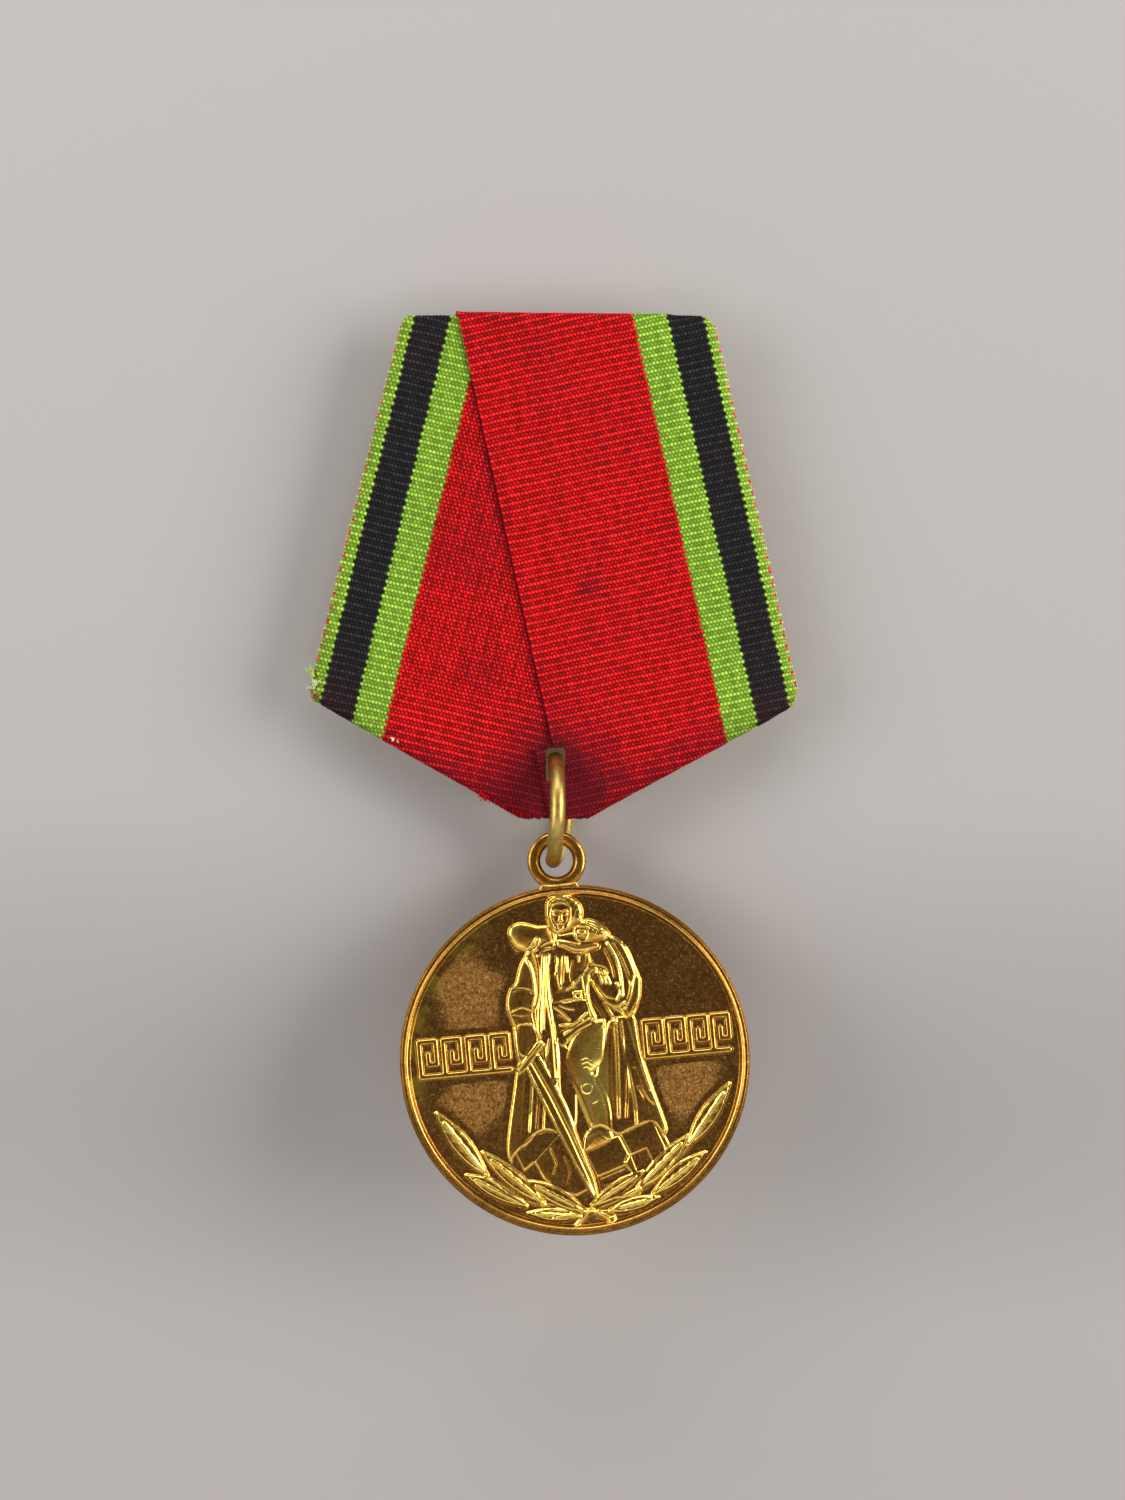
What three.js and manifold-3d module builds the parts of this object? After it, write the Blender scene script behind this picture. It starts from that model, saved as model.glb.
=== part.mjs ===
// A round service medal on a five-sided ribbon mount: brass disc with a fixed
// eyelet, a split wire ring, a striped ribbon folded over a carrier plate in two
// crossing panels, a back plate, and a brooch pin that opens on a hinge.
// Millimetres. +X is the wearer's left to right as the face is seen, +Z is up,
// and the face looks along -Y. The origin is on the flat rear face of the back
// plate, on the mount's centre line, 24 mm below its top edge.
import * as THREE from 'three';
import { mergeVertices } from 'three/addons/utils/BufferGeometryUtils.js';
import Module from 'manifold-3d';

// ---------------------------------------------------------------- dimensions
const DISC_D = 32.0;            // medal disc
const DISC_T = 2.4;             // over the raised rims
const FIELD_SUNK = 0.42;        // the field below the rim, each side
const RIM_W = 0.95;             // width of the raised rim
const DISC_DROP = 18.3;         // eyelet centre to disc centre
const DISC_TILT = 5.9;          // degrees the disc hangs off plumb, at rest
const EYE_R = 2.7, EYE_HOLE_R = 1.5, EYE_T = 1.9;
const EYE_FOOT_W = 4.2, EYE_FOOT_H = 0.9;

const WIRE_R = 0.72;            // suspension ring wire
const RING_R = 4.6;             // ring, to the middle of the wire
const RING_FROM = -30, RING_TO = 310; // degrees round from the top, over the front

const TOP_Z = 24.0;             // top edge of the mount
const TOP_HALF = 14.1;          // half width there
const WIDE_Z = -10.85;          // the widest point
const WIDE_HALF = 22.36;
const TIP_Z = -21.6;            // the cut tip
const TIP_HALF = 3.0;
const HOLE_HALF = 1.3;          // slot for the ring, half width
const HOLE_TOP = -15.0, HOLE_BOTTOM = -18.75;

const BACK_T = 0.6;             // back plate
const CARRIER_T = 0.6;          // carrier plate
const CLOTH_T = 0.28;           // ribbon
const GAP = 0.1;                // between the layers
const RIBBON_W = 24.0;          // ribbon as woven
const PANEL_LEAN = 13.1;        // degrees each panel leans from upright

const PIN_Z = 14.0;             // height of the brooch pin
const PIN_X = -11.0;            // its hinge
const PIN_Y = 1.95;             // its centre line behind the back plate
const PIN_R = 0.5;
const PIN_TIP_X = 13.2;
const CATCH_X = 10.6;
const RIVET_R = 0.6, RIVET_CLEAR = 0.12;

// layers, from the back: each is [front y, rear y]
const yBack = [-BACK_T, 0];
const yTuckR = [yBack[0] - GAP - CLOTH_T, yBack[0] - GAP];
const yTuckL = [yTuckR[0] - GAP - CLOTH_T, yTuckR[0] - GAP];
const yCarrier = [yTuckL[0] - GAP - CARRIER_T, yTuckL[0] - GAP];
const yLeft = [yCarrier[0] - GAP - CLOTH_T, yCarrier[0] - GAP];
const yRight = [yLeft[0] - GAP - CLOTH_T, yLeft[0] - GAP];
const MID_Y = (yBack[1] + yRight[0]) / 2;     // middle of the mount's thickness
const RING_TOP_Z = -16.35;                    // middle of the wire in the slot
const RING_Z = RING_TOP_Z - RING_R;
const EYE_X = 0.35, EYE_Z = RING_Z - RING_R - 0.02;

const rad = (d) => (d * Math.PI) / 180;

// ------------------------------------------------------------------- helpers
const wasm = await Module();
wasm.setup();

function solid(geometry) {
  const g = geometry.clone();
  for (const name of ['normal', 'uv']) g.deleteAttribute(name);
  const m = mergeVertices(g, 1e-5);
  return new wasm.Manifold(new wasm.Mesh({
    numProp: 3,
    vertProperties: new Float32Array(m.attributes.position.array),
    triVerts: new Uint32Array(m.index.array),
  }));
}

function geometryOf(body) {
  const m = body.getMesh();
  const g = new THREE.BufferGeometry();
  const n = m.numProp, count = m.vertProperties.length / n;
  const p = new Float32Array(count * 3);
  for (let i = 0; i < count; i++) for (let k = 0; k < 3; k++) p[3 * i + k] = m.vertProperties[n * i + k];
  g.setAttribute('position', new THREE.BufferAttribute(p, 3));
  g.setIndex(new THREE.BufferAttribute(new Uint32Array(m.triVerts), 1));
  g.computeVertexNormals();
  return g;
}

const v2 = (p) => new THREE.Vector2(p[0], p[1]);

// A flat plate with its outline in X and Z, between two values of Y.
function plate(outline, y, holes = []) {
  const s = new THREE.Shape(outline.map(v2));
  for (const h of holes) s.holes.push(new THREE.Path(h.map(v2)));
  const g = new THREE.ExtrudeGeometry(s, { depth: y[1] - y[0], bevelEnabled: false, curveSegments: 12 });
  g.rotateX(Math.PI / 2);
  g.translate(0, y[1], 0);
  return g;
}

// A plate whose faces are cut into stated regions, so that each region keeps
// edges of its own. Regions share the corners that lie on a common line.
function regionPlate(regions, y) {
  const key = (p) => `${Math.round(p[0] * 1e6)},${Math.round(p[1] * 1e6)}`;
  const ids = new Map(), pts = [], tris = [];
  const id = (p) => {
    const k = key(p);
    if (!ids.has(k)) { ids.set(k, pts.length); pts.push(p); }
    return ids.get(k);
  };
  for (const { outline, holes = [] } of regions) {
    const all = [outline, ...holes].flat();
    const faces = THREE.ShapeUtils.triangulateShape(outline.map(v2), holes.map((h) => h.map(v2)));
    for (const f of faces) {
      const [a, b, c] = f.map((i) => all[i]);
      const area = (b[0] - a[0]) * (c[1] - a[1]) - (c[0] - a[0]) * (b[1] - a[1]);
      const t = f.map((i) => id(all[i]));
      tris.push(area > 0 ? t : [t[0], t[2], t[1]]);
    }
  }
  const n = pts.length, edges = new Map(), index = [];
  for (const t of tris) {
    index.push(...t, t[0] + n, t[2] + n, t[1] + n);
    for (let i = 0; i < 3; i++) edges.set(`${t[i]},${t[(i + 1) % 3]}`, [t[i], t[(i + 1) % 3]]);
  }
  for (const [a, b] of edges.values()) {
    if (!edges.has(`${b},${a}`)) index.push(a, a + n, b + n, a, b + n, b);
  }
  const g = new THREE.BufferGeometry();
  g.setAttribute('position', new THREE.Float32BufferAttribute(
    [...pts.flatMap((p) => [p[0], y[0], p[1]]), ...pts.flatMap((p) => [p[0], y[1], p[1]])], 3));
  g.setIndex(index);
  g.computeVertexNormals();
  return g;
}

// A convex outline moved inwards by d.
function inset(poly, d) {
  const n = poly.length, lines = [];
  for (let i = 0; i < n; i++) {
    const a = poly[i], b = poly[(i + 1) % n];
    const l = Math.hypot(b[0] - a[0], b[1] - a[1]);
    const nx = -(b[1] - a[1]) / l, ny = (b[0] - a[0]) / l;
    lines.push([a[0] + nx * d, a[1] + ny * d, (b[0] - a[0]) / l, (b[1] - a[1]) / l]);
  }
  return lines.map((q, i) => {
    const p = lines[(i + n - 1) % n];
    const t = ((q[0] - p[0]) * q[3] - (q[1] - p[1]) * q[2]) / (p[2] * q[3] - p[3] * q[2]);
    return [p[0] + p[2] * t, p[1] + p[3] * t];
  });
}

// The part of a convex outline on the left of the line from a to b.
function clip(poly, a, b) {
  const side = (p) => (b[0] - a[0]) * (p[1] - a[1]) - (b[1] - a[1]) * (p[0] - a[0]);
  const out = [];
  poly.forEach((p, i) => {
    const q = poly[(i + 1) % poly.length], s = side(p), t = side(q);
    if (s >= 0) out.push(p);
    if ((s > 0 && t < 0) || (s < 0 && t > 0)) {
      const k = s / (s - t);
      out.push([p[0] + (q[0] - p[0]) * k, p[1] + (q[1] - p[1]) * k]);
    }
  });
  return out;
}

const circle = (x, z, r, n = 16) => Array.from({ length: n }, (_, i) => {
  const a = (2 * Math.PI * i) / n;
  return [x + r * Math.cos(a), z + r * Math.sin(a)];
});

function mesh(name, geometry, color, roughness, metalness) {
  const m = new THREE.Mesh(geometry, new THREE.MeshStandardMaterial({ color, roughness, metalness }));
  m.name = name;
  return m;
}

const BRASS = [0xb8923a, 0.35, 1.0], DULL_BRASS = [0xa28f4c, 0.42, 1.0];
const STEEL = [0xb9b6ae, 0.38, 1.0], PLATE_METAL = [0xb7a878, 0.45, 1.0];
const CLOTH = [0xb5121a, 0.9, 0.0];

// ------------------------------------------------------------ mount outlines
// Anticlockwise as the face is seen. The right corner is worn rounder.
const OUTLINE = [
  [-TIP_HALF, TIP_Z], [TIP_HALF, TIP_Z], [19.55, -12.41], [20.6, -11.8], [21.45, -11.0],
  [21.95, -10.0], [22.02, -9.35], [TOP_HALF, TOP_Z], [-TOP_HALF, TOP_Z], [-22.1, -9.75],
  [-22.18, -10.5], [-21.75, -11.2],
];
const EDGE = CLOTH_T + GAP;                       // cloth wrapped round an edge
const CARRIER = inset(OUTLINE, EDGE);
const SLOT = [[-HOLE_HALF, HOLE_BOTTOM + 0.5], [-HOLE_HALF + 0.5, HOLE_BOTTOM], [HOLE_HALF - 0.5, HOLE_BOTTOM],
  [HOLE_HALF, HOLE_BOTTOM + 0.5], [HOLE_HALF, HOLE_TOP - 0.7], [HOLE_HALF - 0.7, HOLE_TOP],
  [-HOLE_HALF + 0.7, HOLE_TOP], [-HOLE_HALF, HOLE_TOP - 0.7]];
const RIVETS = [[PIN_X - 3.1, PIN_Z], [CATCH_X + 2.9, PIN_Z]];
const rivetHoles = RIVETS.map(([x, z]) => circle(x, z, RIVET_R + RIVET_CLEAR, 12));

// -------------------------------------------------------------- carrier plate
const carrierPlate = geometryOf(
  solid(plate(CARRIER, yCarrier)).subtract(solid(plate(SLOT, [yCarrier[0] - 1, yCarrier[1] + 1])))
    .subtract(solid(plate(rivetHoles[0], [yCarrier[0] - 1, yCarrier[1] + 1])))
    .subtract(solid(plate(rivetHoles[1], [yCarrier[0] - 1, yCarrier[1] + 1]))));

// ----------------------------------------------------------------- back plate
// Its rear face is what rests on the garment. The middle region is one facet.
const BACK = inset(OUTLINE, 1.05);
const REST_HI = 8.5, REST_LO = -9.0, REST_HALF = 11.5;
const upper = clip(BACK, [-50, REST_HI], [50, REST_HI]);
const lower = clip(BACK, [50, REST_LO], [-50, REST_LO]);
const middle = clip(clip(BACK, [50, REST_HI], [-50, REST_HI]), [-50, REST_LO], [50, REST_LO]);
const at = (poly, z) => poly.filter((p) => Math.abs(p[1] - z) < 1e-9).sort((p, q) => p[0] - q[0]);
const [hiL, hiR] = at(middle, REST_HI), [loL, loR] = at(middle, REST_LO);
const withPoint = (poly, a, b, ...extra) => {
  const same = (p, q) => Math.hypot(p[0] - q[0], p[1] - q[1]) < 1e-7;
  const i = poly.findIndex((p, k) => same(p, a) && same(poly[(k + 1) % poly.length], b));
  if (i < 0) throw new Error('region edge not found');
  return [...poly.slice(0, i + 1), ...extra, ...poly.slice(i + 1)];
};
const peak = [0, REST_HI], footL = [-REST_HALF, REST_LO], footR = [REST_HALF, REST_LO];
const backPlate = regionPlate([
  { outline: withPoint(upper, hiL, hiR, peak), holes: rivetHoles.map((h) => [...h].reverse()) },
  { outline: withPoint(lower, loR, loL, footR, footL), holes: [[...SLOT].reverse()] },
  { outline: [footL, footR, peak] },
  { outline: [loL, footL, peak, hiL] },
  { outline: [footR, loR, hiR, peak] },
], yBack);

// -------------------------------------------------------------- ribbon panels
// Each panel: the face, its wrap over the top edge, round the long side and
// under the lower side, and the ends tucked between the two plates.
function ribbonPanel(side, yFace, yTuck, lift) {
  // side is +1 for the panel on the right as seen, which lies on top
  const lean = Math.tan(rad(PANEL_LEAN));
  const topX = -side * 9.25, innerAt = (z) => topX + side * (TOP_Z - z) * lean;
  const top = TOP_Z + lift;
  const face = [...OUTLINE.map((p) => (p[1] === TOP_Z ? [p[0], top] : p))];
  const a = [innerAt(60), 60], b = [innerAt(-60), -60];
  const half = side > 0 ? clip(face, b, a) : clip(face, a, b);
  // the half plane to the right of the inner edge for +1, left for -1
  const keep = side > 0 ? clip(face, a, b) : clip(face, b, a);
  const panel = Math.sign(centroidX(keep)) === side ? keep : half;
  const yAll = [yFace[0], yTuck[1]];
  const shell = solid(plate(panel, yAll));
  // hollow it round the carrier: the cavity is open at the inner edge and the tip
  const slack = GAP;
  const inner = inset(OUTLINE, CLOTH_T).map((p) => (Math.abs(p[1] - (TOP_Z - CLOTH_T)) < 1e-6 ? [p[0], TOP_Z - CLOTH_T + lift] : p));
  const grown = inner.map((p) => (p[1] < TIP_Z + CLOTH_T + 1e-6 ? [p[0], TIP_Z - 3] : p));
  const cavity = solid(plate(grown, [yFace[1], yTuck[0]]));
  // behind the carrier only a band along the top and the lower side stays
  const bandTop = 15.6, tuckDepth = 4.2;
  const away = inset(OUTLINE, tuckDepth).filter(() => true);
  const openBack = [[-60, bandTop], [60, bandTop], [60, -60], [-60, -60]].reverse();
  const backBand = solid(plate(openBack, [yTuck[0] - 0.01, yTuck[1] + 1]));
  const lowBand = solid(plate(lowerBand(side, tuckDepth), [yTuck[0], yTuck[1]]));
  const sideWall = solid(plate(sideBand(side), yAll)).intersect(solid(plate(panel, yAll)));
  let body = shell.subtract(cavity).subtract(backBand);
  body = body.add(lowBand).add(sideWall).add(lowerWall(side, yAll));
  const slotCut = solid(plate(inset(SLOT, -0.05), [yAll[0] - 1, yAll[1] + 1]));
  body = body.subtract(slotCut);
  // nothing of the tuck may reach the rivets
  for (const [x, z] of RIVETS) body = body.subtract(solid(plate(circle(x, z, 1.4, 16), [yTuckL[0] - 0.05, yTuckR[1] + 0.05])));
  return geometryOf(body);
}
function centroidX(poly) { return poly.reduce((s, p) => s + p[0], 0) / poly.length; }
const mirror = (poly, side) => (side > 0 ? poly : poly.map((p) => [-p[0], p[1]]).reverse());

// outline corners by side, as seen on the right and mirrored on the left
const RIGHT_SIDE = OUTLINE.slice(1, 8);              // tip, lower side, corner, top right
const LEFT_SIDE = [OUTLINE[0], OUTLINE[11], OUTLINE[10], OUTLINE[9], OUTLINE[8]];
function sideLine(side) { return side > 0 ? RIGHT_SIDE : LEFT_SIDE; }

// A strip CLOTH_T wide just inside part of the outline.
function strip(points, d) {
  const inner = [];
  for (let i = 0; i < points.length; i++) {
    const a = points[Math.max(0, i - 1)], b = points[Math.min(points.length - 1, i + 1)];
    const l = Math.hypot(b[0] - a[0], b[1] - a[1]);
    let nx = -(b[1] - a[1]) / l, nz = (b[0] - a[0]) / l;
    if (nx * points[i][0] > 0) { nx = -nx; nz = -nz; }
    inner.push([points[i][0] + nx * d, points[i][1] + nz * d]);
  }
  const poly = [...points, ...inner.reverse()];
  const area = poly.reduce((s, p, i) => { const q = poly[(i + 1) % poly.length]; return s + p[0] * q[1] - q[0] * p[1]; }, 0);
  return area > 0 ? poly : poly.reverse();
}
function sideBand(side) {
  const pts = sideLine(side);
  return strip(pts.slice(pts.length - (side > 0 ? 6 : 4)), CLOTH_T);
}
function lowerWall(side, yAll) {
  const pts = sideLine(side);
  return solid(plate(strip([lerp(pts[0], pts[1], 0.06), pts[1]], CLOTH_T), yAll));
}
function lowerBand(side, depth) {
  const pts = sideLine(side);
  return strip([lerp(pts[0], pts[1], 0.3), lerp(pts[0], pts[1], 0.985)], depth);
}
function lerp(a, b, t) { return [a[0] + (b[0] - a[0]) * t, a[1] + (b[1] - a[1]) * t]; }

const ribbonLeft = ribbonPanel(-1, yLeft, yTuckL, 0);
const ribbonRight = ribbonPanel(1, yRight, yTuckR, EDGE);

// ------------------------------------------------------------ suspension ring
// Round wire bent to a circle in a plane through Y and Z, a little twisted so
// that its two cut ends pass side by side behind the mount.
class RingPath extends THREE.Curve {
  getPoint(t, target = new THREE.Vector3()) {
    const deg = RING_FROM + (RING_TO - RING_FROM) * t, a = rad(deg);
    return target.set(ringX(deg), MID_Y - RING_R * Math.sin(a), RING_Z + RING_R * Math.cos(a));
  }
}
function ringX(deg) {
  const knots = [[-40, 0.12], [0, 0.12], [60, 0.38], [90, 0.42], [130, 0.2], [180, 0.02], [215, 0.5], [250, 1.15], [290, 1.3], [320, 1.3]];
  const i = Math.max(1, knots.findIndex((k) => k[0] >= deg));
  const [a, b] = [knots[i - 1], knots[i]], u = (deg - a[0]) / (b[0] - a[0]);
  return a[1] + (b[1] - a[1]) * (u * u * (3 - 2 * u));
}
const wire = new THREE.Shape(circle(0, 0, WIRE_R, 12).map(v2));
const ringGeometry = new THREE.ExtrudeGeometry(wire, { steps: 56, extrudePath: new RingPath(), bevelEnabled: false, curveSegments: 4 });

// ------------------------------------------------------------------ the medal
// Lathe profile about the disc's own axis: r outwards, h along the axis.
const H = DISC_T / 2, F = H - FIELD_SUNK, R = DISC_D / 2;
const profile = [
  [0, -F], [R - RIM_W - 0.35, -F], [R - RIM_W, -H], [R - 0.25, -H], [R, -H + 0.25],
  [R, H - 0.25], [R - 0.25, H], [R - RIM_W, H], [R - RIM_W - 0.35, F], [0, F],
].map(v2);
const coin = new THREE.LatheGeometry(profile, 72);   // axis along Y, as the disc's
const eyeRing = solid(plate(circle(0, DISC_DROP, EYE_R, 32), [-EYE_T / 2, EYE_T / 2]))
  .subtract(solid(plate(circle(0, DISC_DROP, EYE_HOLE_R, 24), [-EYE_T, EYE_T])));
const foot = solid(plate([[-EYE_FOOT_W / 2 - 0.5, R - 0.6], [EYE_FOOT_W / 2 + 0.5, R - 0.6],
  [EYE_FOOT_W / 2 - 0.3, R - 0.6 + EYE_FOOT_H], [-EYE_FOOT_W / 2 + 0.3, R - 0.6 + EYE_FOOT_H]], [-EYE_T / 2, EYE_T / 2]))
  .subtract(solid(plate(circle(0, DISC_DROP, EYE_HOLE_R, 24), [-EYE_T, EYE_T])));
const medal = mesh('medal_disc', geometryOf(solid(coin).add(eyeRing).add(foot)), ...BRASS);
medal.position.set(0, 0, -DISC_DROP);
const medalSwing = new THREE.Group();
medalSwing.add(medal);
medalSwing.position.set(EYE_X, MID_Y, EYE_Z);
medalSwing.rotation.set(0, -rad(DISC_TILT), 0);   // turned anticlockwise as the face is seen

// ------------------------------------------------------------- brooch fittings
const box = (x0, x1, y0, y1, z0, z1) => {
  const g = new THREE.BoxGeometry(x1 - x0, y1 - y0, z1 - z0);
  g.translate((x0 + x1) / 2, (y0 + y1) / 2, (z0 + z1) / 2);
  return g;
};
// A plate with its outline in X and Y, between two values of Z.
function flatPlate(outline, z) {
  const g = new THREE.ExtrudeGeometry(new THREE.Shape(outline.map(v2)), { depth: z[1] - z[0], bevelEnabled: false });
  g.translate(0, 0, z[0]);
  return g;
}
// A round bar along Z.
const barZ = (x, y, r, z0, z1, n = 16) => {
  const g = new THREE.CylinderGeometry(r, r, z1 - z0, n);
  g.rotateX(Math.PI / 2);
  g.translate(x, y, (z0 + z1) / 2);
  return g;
};
// A round bar along Y.
const barY = (x, z, r, y0, y1, n = 12) => {
  const g = new THREE.CylinderGeometry(r, r, y1 - y0, n);
  g.translate(x, (y0 + y1) / 2, z);
  return g;
};
const SIT = 0.1;                                   // gap under the fittings
const baseTop = SIT + 0.5;
const EAR_IN = 1.25, EAR_T = 0.5;

// hinge bracket: a base with two upright ears
const ear = [[PIN_X - 1.5, SIT], [PIN_X + 1.5, SIT], [PIN_X + 1.25, PIN_Y]];
for (let i = 1; i < 8; i++) ear.push([PIN_X + 1.25 * Math.cos((Math.PI * i) / 8), PIN_Y + 1.25 * Math.sin((Math.PI * i) / 8)]);
ear.push([PIN_X - 1.25, PIN_Y]);
let bracket = solid(box(PIN_X - 4.6, PIN_X + 2.0, SIT, baseTop, PIN_Z - EAR_IN - EAR_T, PIN_Z + EAR_IN + EAR_T));
for (const s of [-1, 1]) {
  const z = s > 0 ? [PIN_Z + EAR_IN, PIN_Z + EAR_IN + EAR_T] : [PIN_Z - EAR_IN - EAR_T, PIN_Z - EAR_IN];
  bracket = bracket.add(solid(flatPlate(ear, z)));
}
bracket = bracket.subtract(solid(barZ(PIN_X, PIN_Y, 0.6, PIN_Z - 3, PIN_Z + 3, 16)))
  .subtract(solid(barY(RIVETS[0][0], PIN_Z, RIVET_R + RIVET_CLEAR, -1, 2)));

// hinge rivet: an axle with a head each end
const EAR_OUT = EAR_IN + EAR_T;
const axle = solid(barZ(PIN_X, PIN_Y, 0.42, PIN_Z - EAR_OUT - 0.3, PIN_Z + EAR_OUT + 0.3, 16))
  .add(solid(barZ(PIN_X, PIN_Y, 0.85, PIN_Z + EAR_OUT + 0.12, PIN_Z + EAR_OUT + 0.55, 16)))
  .add(solid(barZ(PIN_X, PIN_Y, 0.85, PIN_Z - EAR_OUT - 0.55, PIN_Z - EAR_OUT - 0.12, 16)));

// brooch pin: an eye round the axle and a tapering needle
const needle = new THREE.LatheGeometry([
  [0, 0.75], [PIN_R, 0.75], [PIN_R, PIN_TIP_X - PIN_X - 4.5], [PIN_R * 0.72, PIN_TIP_X - PIN_X - 2.2],
  [PIN_R * 0.3, PIN_TIP_X - PIN_X - 0.6], [0, PIN_TIP_X - PIN_X],
].map(v2), 12);
needle.rotateZ(-Math.PI / 2);
needle.translate(PIN_X, PIN_Y, PIN_Z);
const broochPin = solid(barZ(PIN_X, PIN_Y, 1.15, PIN_Z - 0.95, PIN_Z + 0.95, 20)).add(solid(needle))
  .subtract(solid(barZ(PIN_X, PIN_Y, 0.6, PIN_Z - 3, PIN_Z + 3, 16)));

// catch: a trough open to the rear that the needle's end lies in
const CATCH_L = 1.5, CHEEK_IN = 0.8, CHEEK_T = 0.45;
const catchBase = solid(box(CATCH_X - CATCH_L, CATCH_X + 4.2, SIT, baseTop, PIN_Z - 1.75, PIN_Z + 1.75));
const cheek = (s) => solid(box(CATCH_X - CATCH_L, CATCH_X + CATCH_L, SIT, PIN_Y + 0.95,
  s > 0 ? PIN_Z + CHEEK_IN : PIN_Z - CHEEK_IN - CHEEK_T, s > 0 ? PIN_Z + CHEEK_IN + CHEEK_T : PIN_Z - CHEEK_IN));
const catchBody = catchBase.add(cheek(1)).add(cheek(-1))
  .subtract(solid(barY(RIVETS[1][0], PIN_Z, RIVET_R + RIVET_CLEAR, -1, 2)));

// the two rivets that hold fitting, back plate and carrier together
const rivet = ([x, z]) => geometryOf(solid(barY(x, z, RIVET_R, yCarrier[0] + 0.02, baseTop + 0.3))
  .add(solid(barY(x, z, 1.05, baseTop + 0.06, baseTop + 0.42, 16))));

// ------------------------------------------------------------------- assembly
const object = new THREE.Group();
object.add(
  mesh('carrier_plate', carrierPlate, ...PLATE_METAL),
  mesh('back_plate', backPlate, ...PLATE_METAL),
  mesh('ribbon_left_panel', ribbonLeft, ...CLOTH),
  mesh('ribbon_right_panel', ribbonRight, ...CLOTH),
  mesh('suspension_ring', ringGeometry, ...DULL_BRASS),
  medalSwing,
  mesh('pin_hinge_bracket', geometryOf(bracket), ...STEEL),
  mesh('pin_hinge_axle', geometryOf(axle), ...STEEL),
  mesh('brooch_pin', geometryOf(broochPin), ...STEEL),
  mesh('pin_catch', geometryOf(catchBody), ...STEEL),
  mesh('rivet_hinge_side', rivet(RIVETS[0]), ...PLATE_METAL),
  mesh('rivet_catch_side', rivet(RIVETS[1]), ...PLATE_METAL),
);
export default object;
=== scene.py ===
"""The looks of a service medal on its ribbon mount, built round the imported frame.
Everything is worked out in millimetres and scaled to metres when a mesh is made."""
import math

import bpy
import numpy as np
from mathutils import Matrix, Vector


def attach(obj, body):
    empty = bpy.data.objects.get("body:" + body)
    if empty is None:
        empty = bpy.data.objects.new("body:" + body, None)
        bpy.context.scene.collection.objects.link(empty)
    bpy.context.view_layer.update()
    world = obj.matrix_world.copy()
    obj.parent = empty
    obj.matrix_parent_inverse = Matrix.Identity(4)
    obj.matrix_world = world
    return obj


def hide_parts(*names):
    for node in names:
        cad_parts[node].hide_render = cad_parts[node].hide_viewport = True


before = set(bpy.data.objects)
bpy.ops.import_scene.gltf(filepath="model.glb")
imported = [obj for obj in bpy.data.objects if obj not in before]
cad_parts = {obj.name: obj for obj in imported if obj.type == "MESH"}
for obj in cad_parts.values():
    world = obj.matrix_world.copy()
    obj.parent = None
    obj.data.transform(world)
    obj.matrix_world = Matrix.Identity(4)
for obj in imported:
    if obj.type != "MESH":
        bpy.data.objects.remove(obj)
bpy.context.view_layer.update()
rng = np.random.default_rng(7)


# ------------------------------------------------------------------ mesh tools
def make(name, verts, quads=None, tris=None, attrs=None, smooth=True, material=None):
    """A mesh object from arrays in millimetres, with per-vertex attributes."""
    me = bpy.data.meshes.new(name)
    nq = 0 if quads is None else len(quads)
    nt = 0 if tris is None else len(tris)
    me.vertices.add(len(verts))
    me.vertices.foreach_set("co", (np.asarray(verts, np.float64) * 0.001).astype(np.float32).ravel())
    loops = np.concatenate([np.asarray(a, np.int32).ravel() for a in (quads, tris) if a is not None and len(a)])
    me.loops.add(len(loops))
    me.loops.foreach_set("vertex_index", loops)
    me.polygons.add(nq + nt)
    total = np.concatenate([np.full(nq, 4, np.int32), np.full(nt, 3, np.int32)])
    me.polygons.foreach_set("loop_start", np.concatenate([[0], np.cumsum(total)[:-1]]).astype(np.int32))
    me.polygons.foreach_set("loop_total", total)
    me.polygons.foreach_set("use_smooth", np.full(nq + nt, smooth, bool))
    me.update(calc_edges=True)
    for key, a in (attrs or {}).items():
        a = np.asarray(a, np.float32)
        if a.ndim == 1:
            me.attributes.new(key, "FLOAT", "POINT").data.foreach_set("value", a)
        else:
            me.attributes.new(key, "FLOAT_VECTOR", "POINT").data.foreach_set("vector", a.ravel())
    o = bpy.data.objects.new(name, me)
    bpy.context.scene.collection.objects.link(o)
    if material:
        me.materials.append(material)
    return o


def grid_faces(nr, nc, closed=False, start=0):
    """Quads of a grid of nr rows and nc columns, going round if closed."""
    r, c = np.arange(nr - 1), np.arange(nc if closed else nc - 1)
    R, C = np.meshgrid(r, c, indexing="ij")
    D = (C + 1) % nc
    return (start + np.stack([R * nc + C, R * nc + D, (R + 1) * nc + D, (R + 1) * nc + C], -1)).reshape(-1, 4)


def join(parts):
    """Several (verts, quads, tris, attrs) as one set of arrays."""
    V, Q, T, A, n = [], [], [], {}, 0
    for v, q, t, a in parts:
        V.append(v)
        if q is not None and len(q):
            Q.append(np.asarray(q) + n)
        if t is not None and len(t):
            T.append(np.asarray(t) + n)
        for k, x in a.items():
            A.setdefault(k, []).append(x)
        n += len(v)
    return (np.concatenate(V), np.concatenate(Q) if Q else None, np.concatenate(T) if T else None,
            {k: np.concatenate(x) for k, x in A.items()})


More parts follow.
